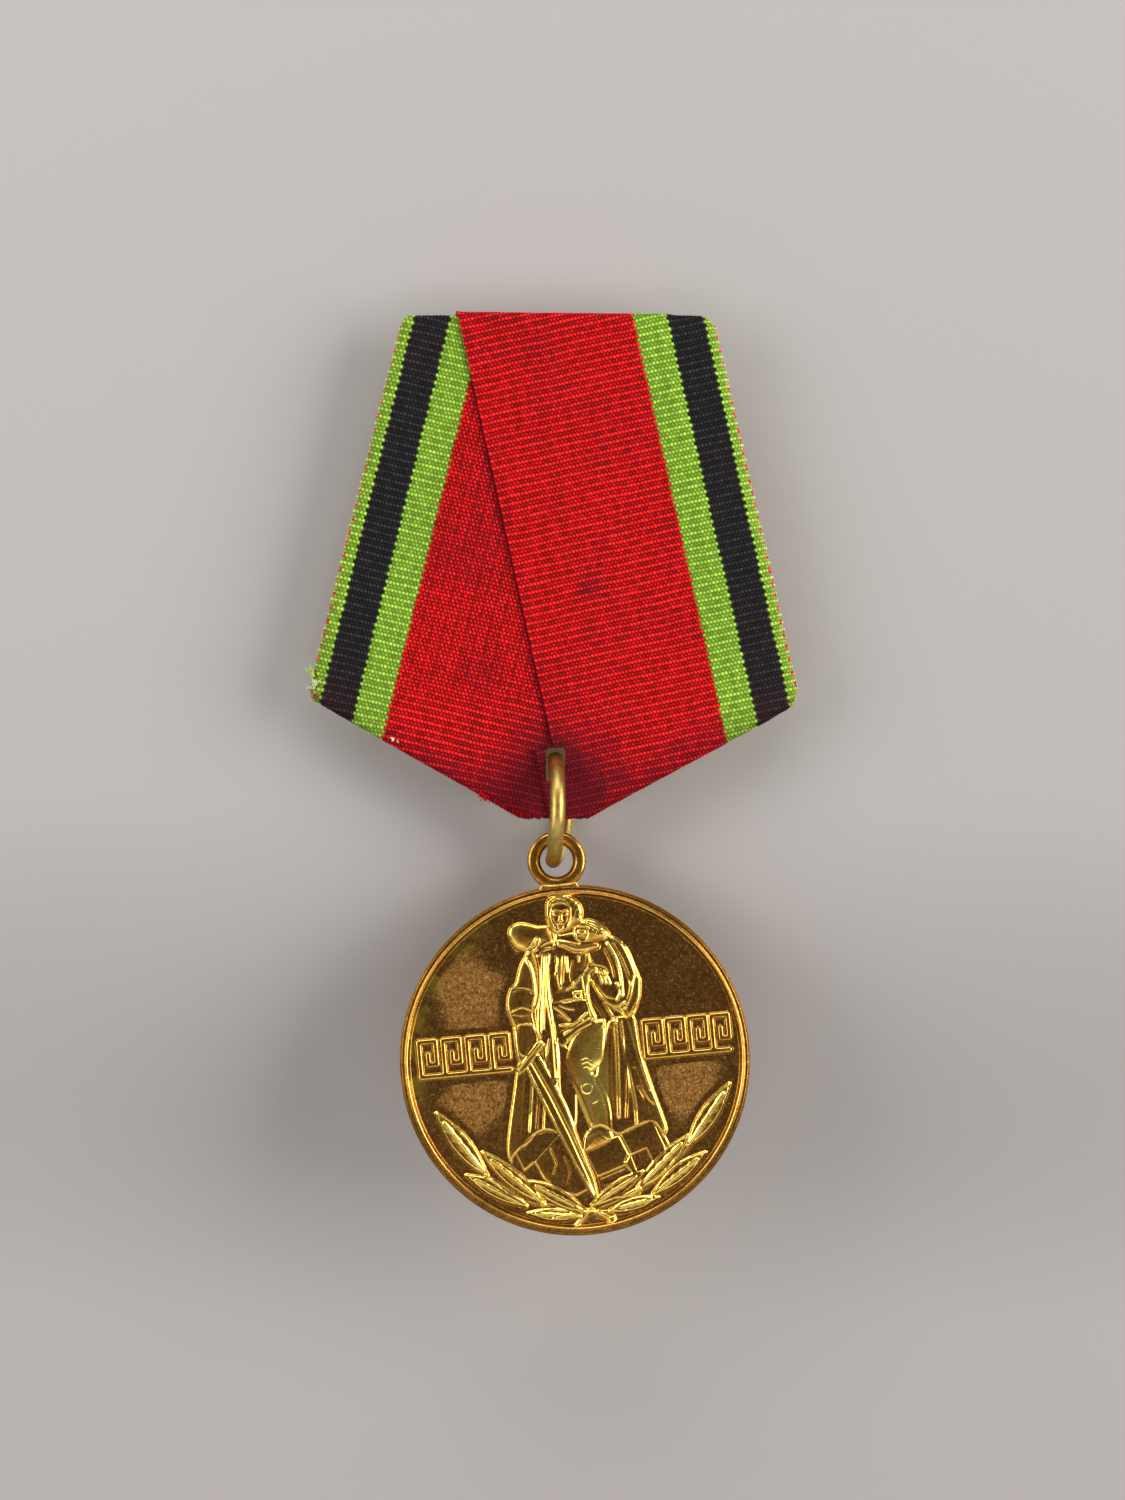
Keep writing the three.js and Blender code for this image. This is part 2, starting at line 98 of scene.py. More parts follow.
def revolve(profile, centre, axis, n=96, start=None):
    """A closed solid of revolution. profile is (radius, height) points; it closes on
    the axis, or on itself for a ring. axis is 'X', 'Y' or 'Z'."""
    p = np.array(profile, float)
    ring = not (abs(p[0, 0]) < 1e-9 and abs(p[-1, 0]) < 1e-9)
    a = np.arange(n) * 2 * math.pi / n
    body = p if ring else p[1:-1]
    c, s = np.cos(a), np.sin(a)
    x = body[:, :1] * c, body[:, :1] * s, np.repeat(body[:, 1:], n, 1)
    order = {"X": (2, 0, 1), "Y": (1, 2, 0), "Z": (0, 1, 2)}[axis]
    v = np.stack([x[i] for i in order], -1).reshape(-1, 3)
    rows = len(body)
    if ring:
        R, C = np.meshgrid(np.arange(rows), np.arange(n), indexing="ij")
        q = np.stack([R * n + C, R * n + (C + 1) % n, (R + 1) % rows * n + (C + 1) % n, (R + 1) % rows * n + C], -1).reshape(-1, 4)
        t = None
    else:
        q = grid_faces(rows, n, True)
        ends = [[0, 0, p[0, 1]], [0, 0, p[-1, 1]]]
        v = np.concatenate([v, np.array([[e[i] for i in order] for e in ends])])
        k = np.arange(n)
        t = np.concatenate([np.stack([np.full(n, len(v) - 2), (k + 1) % n, k], -1),
                            np.stack([np.full(n, len(v) - 1), (rows - 1) * n + k, (rows - 1) * n + (k + 1) % n], -1)])
    v = v + np.array(centre)
    return outward(v, q, t)


def outward(v, q, t):
    """Turns the faces over if the solid's volume comes out negative."""
    T = [] if t is None else [np.asarray(t)]
    if q is not None:
        q = np.asarray(q)
        T += [q[:, [0, 1, 2]], q[:, [0, 2, 3]]]
    T = np.concatenate(T)
    a, b, c = v[T[:, 0]], v[T[:, 1]], v[T[:, 2]]
    if (a * np.cross(b, c)).sum() < 0:
        q = None if q is None else q[:, ::-1]
        t = None if t is None else np.asarray(t)[:, ::-1]
    return v, q, t


def tube(path, radius, sides=20, caps=True, normal=(1.0, 0, 0)):
    """A round bar along a path, with rounded ends. radius may vary along it."""
    P = np.asarray(path, float)
    rad = np.broadcast_to(np.asarray(radius, float), (len(P),)).copy()
    T = np.gradient(P, axis=0)
    T /= np.linalg.norm(T, axis=1)[:, None]
    if caps:  # small rounded ends
        steps = [(0.18, 0.80), (0.0, 0.96)]
        head = [P[0] - T[0] * rad[0] * 0.16, P[0] - T[0] * rad[0] * 0.08]
        tail = [P[-1] + T[-1] * rad[-1] * 0.08, P[-1] + T[-1] * rad[-1] * 0.16]
        rad = np.concatenate([[rad[0] * 0.72, rad[0] * 0.93], rad, [rad[-1] * 0.93, rad[-1] * 0.72]])
        P = np.concatenate([head, P, tail])
        T = np.concatenate([T[:1], T[:1], T, T[-1:], T[-1:]])
    n = np.array(normal, float)
    N = n - (T @ n)[:, None] * T
    N /= np.linalg.norm(N, axis=1)[:, None]
    B = np.cross(T, N)
    a = np.arange(sides) * 2 * math.pi / sides
    v = P[:, None] + rad[:, None, None] * (N[:, None] * np.cos(a)[None, :, None] + B[:, None] * np.sin(a)[None, :, None])
    q = grid_faces(len(P), sides, True)
    v = np.concatenate([v.reshape(-1, 3), P[:1], P[-1:]])
    k, m = np.arange(sides), len(P) * sides
    t = np.concatenate([np.stack([np.full(sides, m), (k + 1) % sides, k], -1),
                        np.stack([np.full(sides, m + 1), m - sides + k, m - sides + (k + 1) % sides], -1)])
    return outward(v, q, t)


def value_noise(x, y, scale, seed):
    """Smooth noise in the plane, from -1 to 1."""
    r = np.random.default_rng(seed).uniform(-1, 1, (256, 256))
    x, y = x / scale + 57.3, y / scale + 91.7
    i, j = np.floor(x).astype(int), np.floor(y).astype(int)
    u, w = x - i, y - j
    u, w = u * u * (3 - 2 * u), w * w * (3 - 2 * w)
    g = lambda a, b: r[a % 256, b % 256]
    return (g(i, j) * (1 - u) + g(i + 1, j) * u) * (1 - w) + (g(i, j + 1) * (1 - u) + g(i + 1, j + 1) * u) * w


def sstep(x):
    x = np.clip(x, 0, 1)
    return x * x * (3 - 2 * x)


# ------------------------------------------------------------------- materials
class Nodes:
    """A short way of writing a node tree."""

    def __init__(self, name):
        self.m = bpy.data.materials.new(name)
        self.m.use_nodes = True
        self.t = self.m.node_tree
        self.p = next(n for n in self.t.nodes if n.type == "BSDF_PRINCIPLED")
        self.out = next(n for n in self.t.nodes if n.type == "OUTPUT_MATERIAL")

    def new(self, kind, **kw):
        n = self.t.nodes.new(kind)
        for k, v in kw.items():
            setattr(n, k, v)
        return n

    def put(self, socket, value):
        if isinstance(value, bpy.types.NodeSocket):
            self.t.links.new(value, socket)
        elif value is not None:
            socket.default_value = value

    def attr(self, name, out="Fac"):
        return self.new("ShaderNodeAttribute", attribute_name=name).outputs[out]

    def math(self, op, a, b=None, c=None, clamp=False):
        n = self.new("ShaderNodeMath", operation=op, use_clamp=clamp)
        for s, v in zip(n.inputs, (a, b, c)):
            self.put(s, v)
        return n.outputs[0]

    def mix(self, f, a, b):
        n = self.new("ShaderNodeMix", data_type="RGBA")
        self.put(n.inputs["Factor"], f)
        self.put([s for s in n.inputs if s.name == "A" and s.type == "RGBA"][0], a)
        self.put([s for s in n.inputs if s.name == "B" and s.type == "RGBA"][0], b)
        return [s for s in n.outputs if s.type == "RGBA"][0]

    def lerp(self, f, a, b):
        return self.math("ADD", self.math("MULTIPLY", f, self.math("SUBTRACT", b, a)), a)

    def ramp(self, f, stops):
        n = self.new("ShaderNodeValToRGB")
        r = n.color_ramp
        while len(r.elements) < len(stops):
            r.elements.new(0.5)
        for e, (p, c) in zip(r.elements, stops):
            e.position, e.color = p, (*c, 1) if len(c) == 3 else c
        self.put(n.inputs[0], f)
        return n.outputs[0]

    def range(self, f, a, b, c=0.0, d=1.0, smooth=True):
        n = self.new("ShaderNodeMapRange", interpolation_type="SMOOTHSTEP" if smooth else "LINEAR")
        for s, v in zip(n.inputs, (f, a, b, c, d)):
            self.put(s, v)
        return n.outputs[0]

    def coords(self, scale=(1000, 1000, 1000), rot=(0, 0, 0)):
        m = self.new("ShaderNodeMapping")
        self.put(m.inputs[0], self.new("ShaderNodeTexCoord").outputs["Object"])
        m.inputs["Rotation"].default_value = rot
        m.inputs["Scale"].default_value = scale
        return m.outputs[0]

    def noise(self, vec, scale, detail=3, rough=0.55, dist=0.0, out="Fac"):
        n = self.new("ShaderNodeTexNoise")
        self.put(n.inputs["Vector"], vec)
        n.inputs["Scale"].default_value = scale
        n.inputs["Detail"].default_value = detail
        n.inputs["Roughness"].default_value = rough
        n.inputs["Distortion"].default_value = dist
        return n.outputs[out]

    def voronoi(self, vec, scale, feature="F1", out="Distance"):
        n = self.new("ShaderNodeTexVoronoi", feature=feature)
        self.put(n.inputs["Vector"], vec)
        n.inputs["Scale"].default_value = scale
        return n.outputs[out]

    def bump(self, height, strength, distance, normal=None):
        n = self.new("ShaderNodeBump")
        n.inputs["Strength"].default_value = strength
        n.inputs["Distance"].default_value = distance
        self.put(n.inputs["Height"], height)
        self.put(n.inputs["Normal"], normal)
        return n.outputs[0]

    def set(self, **kw):
        names = {"color": "Base Color", "metal": "Metallic", "rough": "Roughness", "normal": "Normal", "spec": "Specular IOR Level",
                 "sheen": "Sheen Weight", "sheen_rough": "Sheen Roughness", "sheen_tint": "Sheen Tint", "coat": "Coat Weight",
                 "coat_rough": "Coat Roughness", "ior": "IOR", "aniso": "Anisotropic"}
        for k, v in kw.items():
            self.put(self.p.inputs[names[k]], v)
        return self.m


def lin(r, g, b):
    """A display colour, 0 to 255, as the linear colour that a shader takes."""
    f = lambda c: (c / 12.92 if c <= 0.04045 else ((c + 0.055) / 1.055) ** 2.4)
    return (f(r / 255), f(g / 255), f(b / 255), 1.0)


DARK_A, DARK_B, DARK_FLECK = (96, 62, 26), (134, 90, 40), (206, 156, 84)
MATTE_A, MATTE_B, MATTE_FLECK = (160, 112, 54), (184, 134, 70), (124, 82, 38)
AMBER_A, AMBER_B = (166, 110, 36), (190, 134, 54)
GOLD_A, GOLD_B = (248, 204, 86), (255, 228, 128)


def brass_struck():
    """Gilt brass, struck: bright where the relief is rubbed and where highlights are painted on the figure, with a
    brown patina on the flats, mottled lighter and more matte out in the open field."""
    n = Nodes("struck_brass")
    v = n.coords()
    wear, patch = n.attr("wear"), n.attr("patch")
    big = n.noise(v, 0.45, 4, 0.6)
    mid = n.noise(v, 2.2, 5, 0.65)
    fine = n.noise(v, 9.0, 4, 0.7)
    grain = n.noise(v, 22.0, 2, 0.6)
    # the darkest patina, then the lighter matte areas out in the field
    dark = n.mix(n.range(mid, 0.35, 0.70), lin(*DARK_A), lin(*DARK_B))
    specks = n.noise(v, 5.2, 3, 0.72)
    dark = n.mix(n.range(specks, 0.57, 0.68), dark, lin(*DARK_FLECK))
    dark = n.mix(n.range(grain, 0.56, 0.74), dark, lin(*DARK_FLECK))
    matte = n.mix(n.range(mid, 0.36, 0.66), lin(*MATTE_A), lin(*MATTE_B))
    matte = n.mix(n.range(grain, 0.46, 0.62), matte, lin(*MATTE_FLECK))
    matte = n.mix(n.range(specks, 0.47, 0.38), matte, lin(100, 66, 30))
    matte = n.mix(n.range(specks, 0.56, 0.66), matte, lin(216, 170, 98))
    edge = n.math("ADD", patch, n.math("MULTIPLY", n.math("SUBTRACT", fine, 0.5), 0.9))
    open_field = n.range(edge, 0.36, 0.60)
    base = n.mix(open_field, dark, matte)
    # greenish bloom along part of the rim and red-brown tarnish here and there
    bloom = n.attr("bloom")
    base = n.mix(n.math("MULTIPLY", bloom, n.range(big, 0.42, 0.70)), base, lin(178, 158, 56))
    base = n.mix(n.math("MULTIPLY", n.range(big, 0.54, 0.74), 0.40), base, lin(150, 78, 40))
    # rubbed metal on the flanks and edges, and the painted highlight on the figure's swells and leg
    w = n.math("ADD", wear, n.math("MULTIPLY", n.math("SUBTRACT", fine, 0.5), 0.30))
    w = n.math("ADD", w, n.math("MULTIPLY", n.math("SUBTRACT", mid, 0.5), 0.34))
    w = n.range(w, 0.06, 0.86, smooth=False)
    gold = n.mix(n.range(mid, 0.35, 0.7), lin(*GOLD_A), lin(*GOLD_B))
    amber = n.mix(n.range(fine, 0.35, 0.65), lin(*AMBER_A), lin(*AMBER_B))
    color = n.mix(n.range(w, 0.0, 0.42, smooth=False), base, amber)
    color = n.mix(n.range(w, 0.34, 0.95, smooth=False), color, gold)
    rough = n.lerp(w, n.lerp(open_field, 0.30, 0.46), 0.20)
    rough = n.math("ADD", rough, n.math("MULTIPLY", n.math("SUBTRACT", fine, 0.5), 0.10))
    # light handling scratches, and the fine grain of the tarnish
    s1 = n.noise(n.coords((1500, 1500, 60), (0, 0.55, 0)), 6, 2, 0.5)
    s2 = n.noise(n.coords((60, 1500, 1500), (0, 0.35, 0)), 6, 2, 0.5)
    scratch = n.math("ADD", n.range(s1, 0.66, 0.74), n.range(s2, 0.67, 0.75))
    relief = n.math("ADD", n.math("MULTIPLY", grain, n.lerp(w, 1.0, 0.12)), n.math("MULTIPLY", scratch, -0.35))
    relief = n.math("ADD", relief, n.math("MULTIPLY", fine, 0.5))
    return n.set(color=color, metal=1.0, rough=rough, normal=n.bump(relief, 0.55, 0.00001))


def brass_wire():
    """Drawn brass wire, dull and greenish, mottled and pitted, with drawing lines."""
    n = Nodes("ring_brass")
    v = n.coords()
    along = n.noise(v, 1.1, 4, 0.6)
    fine = n.noise(v, 9.0, 4, 0.65)
    color = n.mix(n.range(along, 0.34, 0.66), lin(164, 138, 72), lin(196, 166, 94))
    color = n.mix(n.range(fine, 0.55, 0.78), color, lin(128, 104, 48))
    color = n.mix(n.range(n.noise(v, 2.6, 3, 0.5), 0.58, 0.74), color, lin(150, 152, 60))
    draw = n.noise(n.coords((2600, 140, 140)), 5, 3, 0.6)
    pits = n.noise(v, 4.2, 4, 0.7)
    color = n.mix(n.range(pits, 0.60, 0.72), color, lin(98, 74, 34))
    rough = n.math("ADD", 0.30, n.math("MULTIPLY", n.math("ADD", fine, n.range(pits, 0.5, 0.7)), 0.17))
    h = n.math("ADD", n.math("MULTIPLY", draw, 0.6), n.math("MULTIPLY", n.math("ADD", fine, pits), 0.7))
    return n.set(color=color, metal=1.0, rough=rough, normal=n.bump(h, 0.5, 0.00002))


def sheet_brass():
    """Rolled brass sheet: fine rolling lines, stains and a few scratches."""
    n = Nodes("plate_brass")
    v = n.coords()
    lines = n.noise(n.coords((30, 900, 2600)), 3, 4, 0.6)
    stain = n.noise(v, 0.22, 5, 0.62)
    spots = n.noise(v, 2.4, 4, 0.7)
    color = n.mix(n.range(stain, 0.35, 0.65), lin(196, 168, 104), lin(160, 132, 78))
    color = n.mix(n.range(spots, 0.60, 0.76), color, lin(104, 82, 48))
    color = n.mix(n.math("MULTIPLY", n.range(stain, 0.58, 0.72), 0.5), color, lin(124, 130, 84))
    # painted shade round the slot, and the plate darker at its tip
    sep = n.new("ShaderNodeSeparateXYZ")
    n.put(sep.inputs[0], v)
    dx, dz = n.math("SUBTRACT", sep.outputs[0], 0.12), n.math("ADD", sep.outputs[2], 16.8)
    d = n.math("SQRT", n.math("ADD", n.math("MULTIPLY", dx, dx), n.math("MULTIPLY", dz, dz)))
    slot_shade_and_dark_tip = n.math("MAXIMUM", n.range(d, 3.2, 1.4), n.range(sep.outputs[2], -20.3, -21.2))
    color = n.mix(n.math("MULTIPLY", slot_shade_and_dark_tip, 0.93), color, lin(34, 20, 12))
    scratch = n.range(n.noise(n.coords((1400, 1400, 40), (0, 0.7, 0)), 5, 2, 0.5), 0.68, 0.75)
    rough = n.math("ADD", n.math("MULTIPLY", lines, 0.16), n.lerp(n.range(spots, 0.5, 0.75), 0.26, 0.46))
    rough = n.math("ADD", rough, n.math("MULTIPLY", slot_shade_and_dark_tip, 0.35))
    h = n.math("ADD", n.math("MULTIPLY", lines, 0.7), n.math("MULTIPLY", scratch, -0.6))
    return n.set(color=color, metal=1.0, rough=rough, normal=n.bump(h, 0.5, 0.00003))


def pin_steel():
    """Nickel-plated steel, satin, with small stains where the plating is thin."""
    n = Nodes("pin_steel")
    v = n.coords()
    fine = n.noise(v, 7.0, 4, 0.65)
    stain = n.noise(v, 0.9, 4, 0.6)
    color = n.mix(n.range(stain, 0.40, 0.66), lin(206, 204, 198), lin(182, 176, 164))
    color = n.mix(n.range(fine, 0.64, 0.80), color, lin(122, 104, 82))
    rough = n.math("ADD", 0.22, n.math("MULTIPLY", fine, 0.20))
    lines = n.noise(n.coords((60, 2200, 2200)), 3, 3, 0.6)
    return n.set(color=color, metal=1.0, rough=rough, normal=n.bump(n.math("ADD", lines, fine), 0.35, 0.00002))


def ribbon_cloth():
    """Warp-faced ribbon. The mesh has the floats of the warp, and its colour attribute has painted shade between the
    floats and painted sheen on their tops;
    the shader adds the fibres of each thread, the variation in their colour and the silk's gloss."""
    n = Nodes("ribbon_silk")
    ts = n.attr("ts", "Vector")
    col = n.attr("dye", "Color")
    top = n.attr("float_h")
    fibres = n.new("ShaderNodeMapping")
    n.put(fibres.inputs[0], ts)
    fibres.inputs["Scale"].default_value = (34, 3.2, 1)
    f = n.noise(fibres.outputs[0], 1.0, 3, 0.6)
    cloth = n.noise(ts, 0.16, 4, 0.6)
    hsv = n.new("ShaderNodeHueSaturation")
    n.put(hsv.inputs["Color"], col)
    n.put(hsv.inputs["Value"], n.math("ADD", n.math("MULTIPLY", f, 0.40), n.math("ADD", n.math("MULTIPLY", cloth, 0.24), 0.72)))
    # grime, with painted shade round the slot and under the upper panel's edge, darkens the cloth towards dark wine
    grime_and_shade = n.attr("grime_and_shade")
    color = n.mix(grime_and_shade, hsv.outputs[0], n.mix(0.86, hsv.outputs[0], lin(64, 4, 18)))
    h = n.math("MULTIPLY", f, 1.0)
    rough = n.lerp(n.range(top, 0.3, 1.0), 0.75, 0.44)
    return n.set(color=color, rough=rough, spec=0.10, sheen=0.01, sheen_rough=0.35, sheen_tint=(1.0, 0.75, 0.72, 1),
                 normal=n.bump(h, 0.7, 0.000012))


def plain_fibre():
    n = Nodes("loose_fibre")
    col = n.attr("dye", "Color")
    f = n.noise(n.coords(), 6, 3, 0.6)
    hsv = n.new("ShaderNodeHueSaturation")
    n.put(hsv.inputs["Color"], col)
    n.put(hsv.inputs["Value"], n.math("ADD", n.math("MULTIPLY", f, 0.6), 0.7))
    return n.set(color=hsv.outputs[0], rough=0.8, spec=0.1)


BRASS, WIRE, SHEET, STEEL, SILK, FIBRE = brass_struck(), brass_wire(), sheet_brass(), pin_steel(), ribbon_cloth(), plain_fibre()

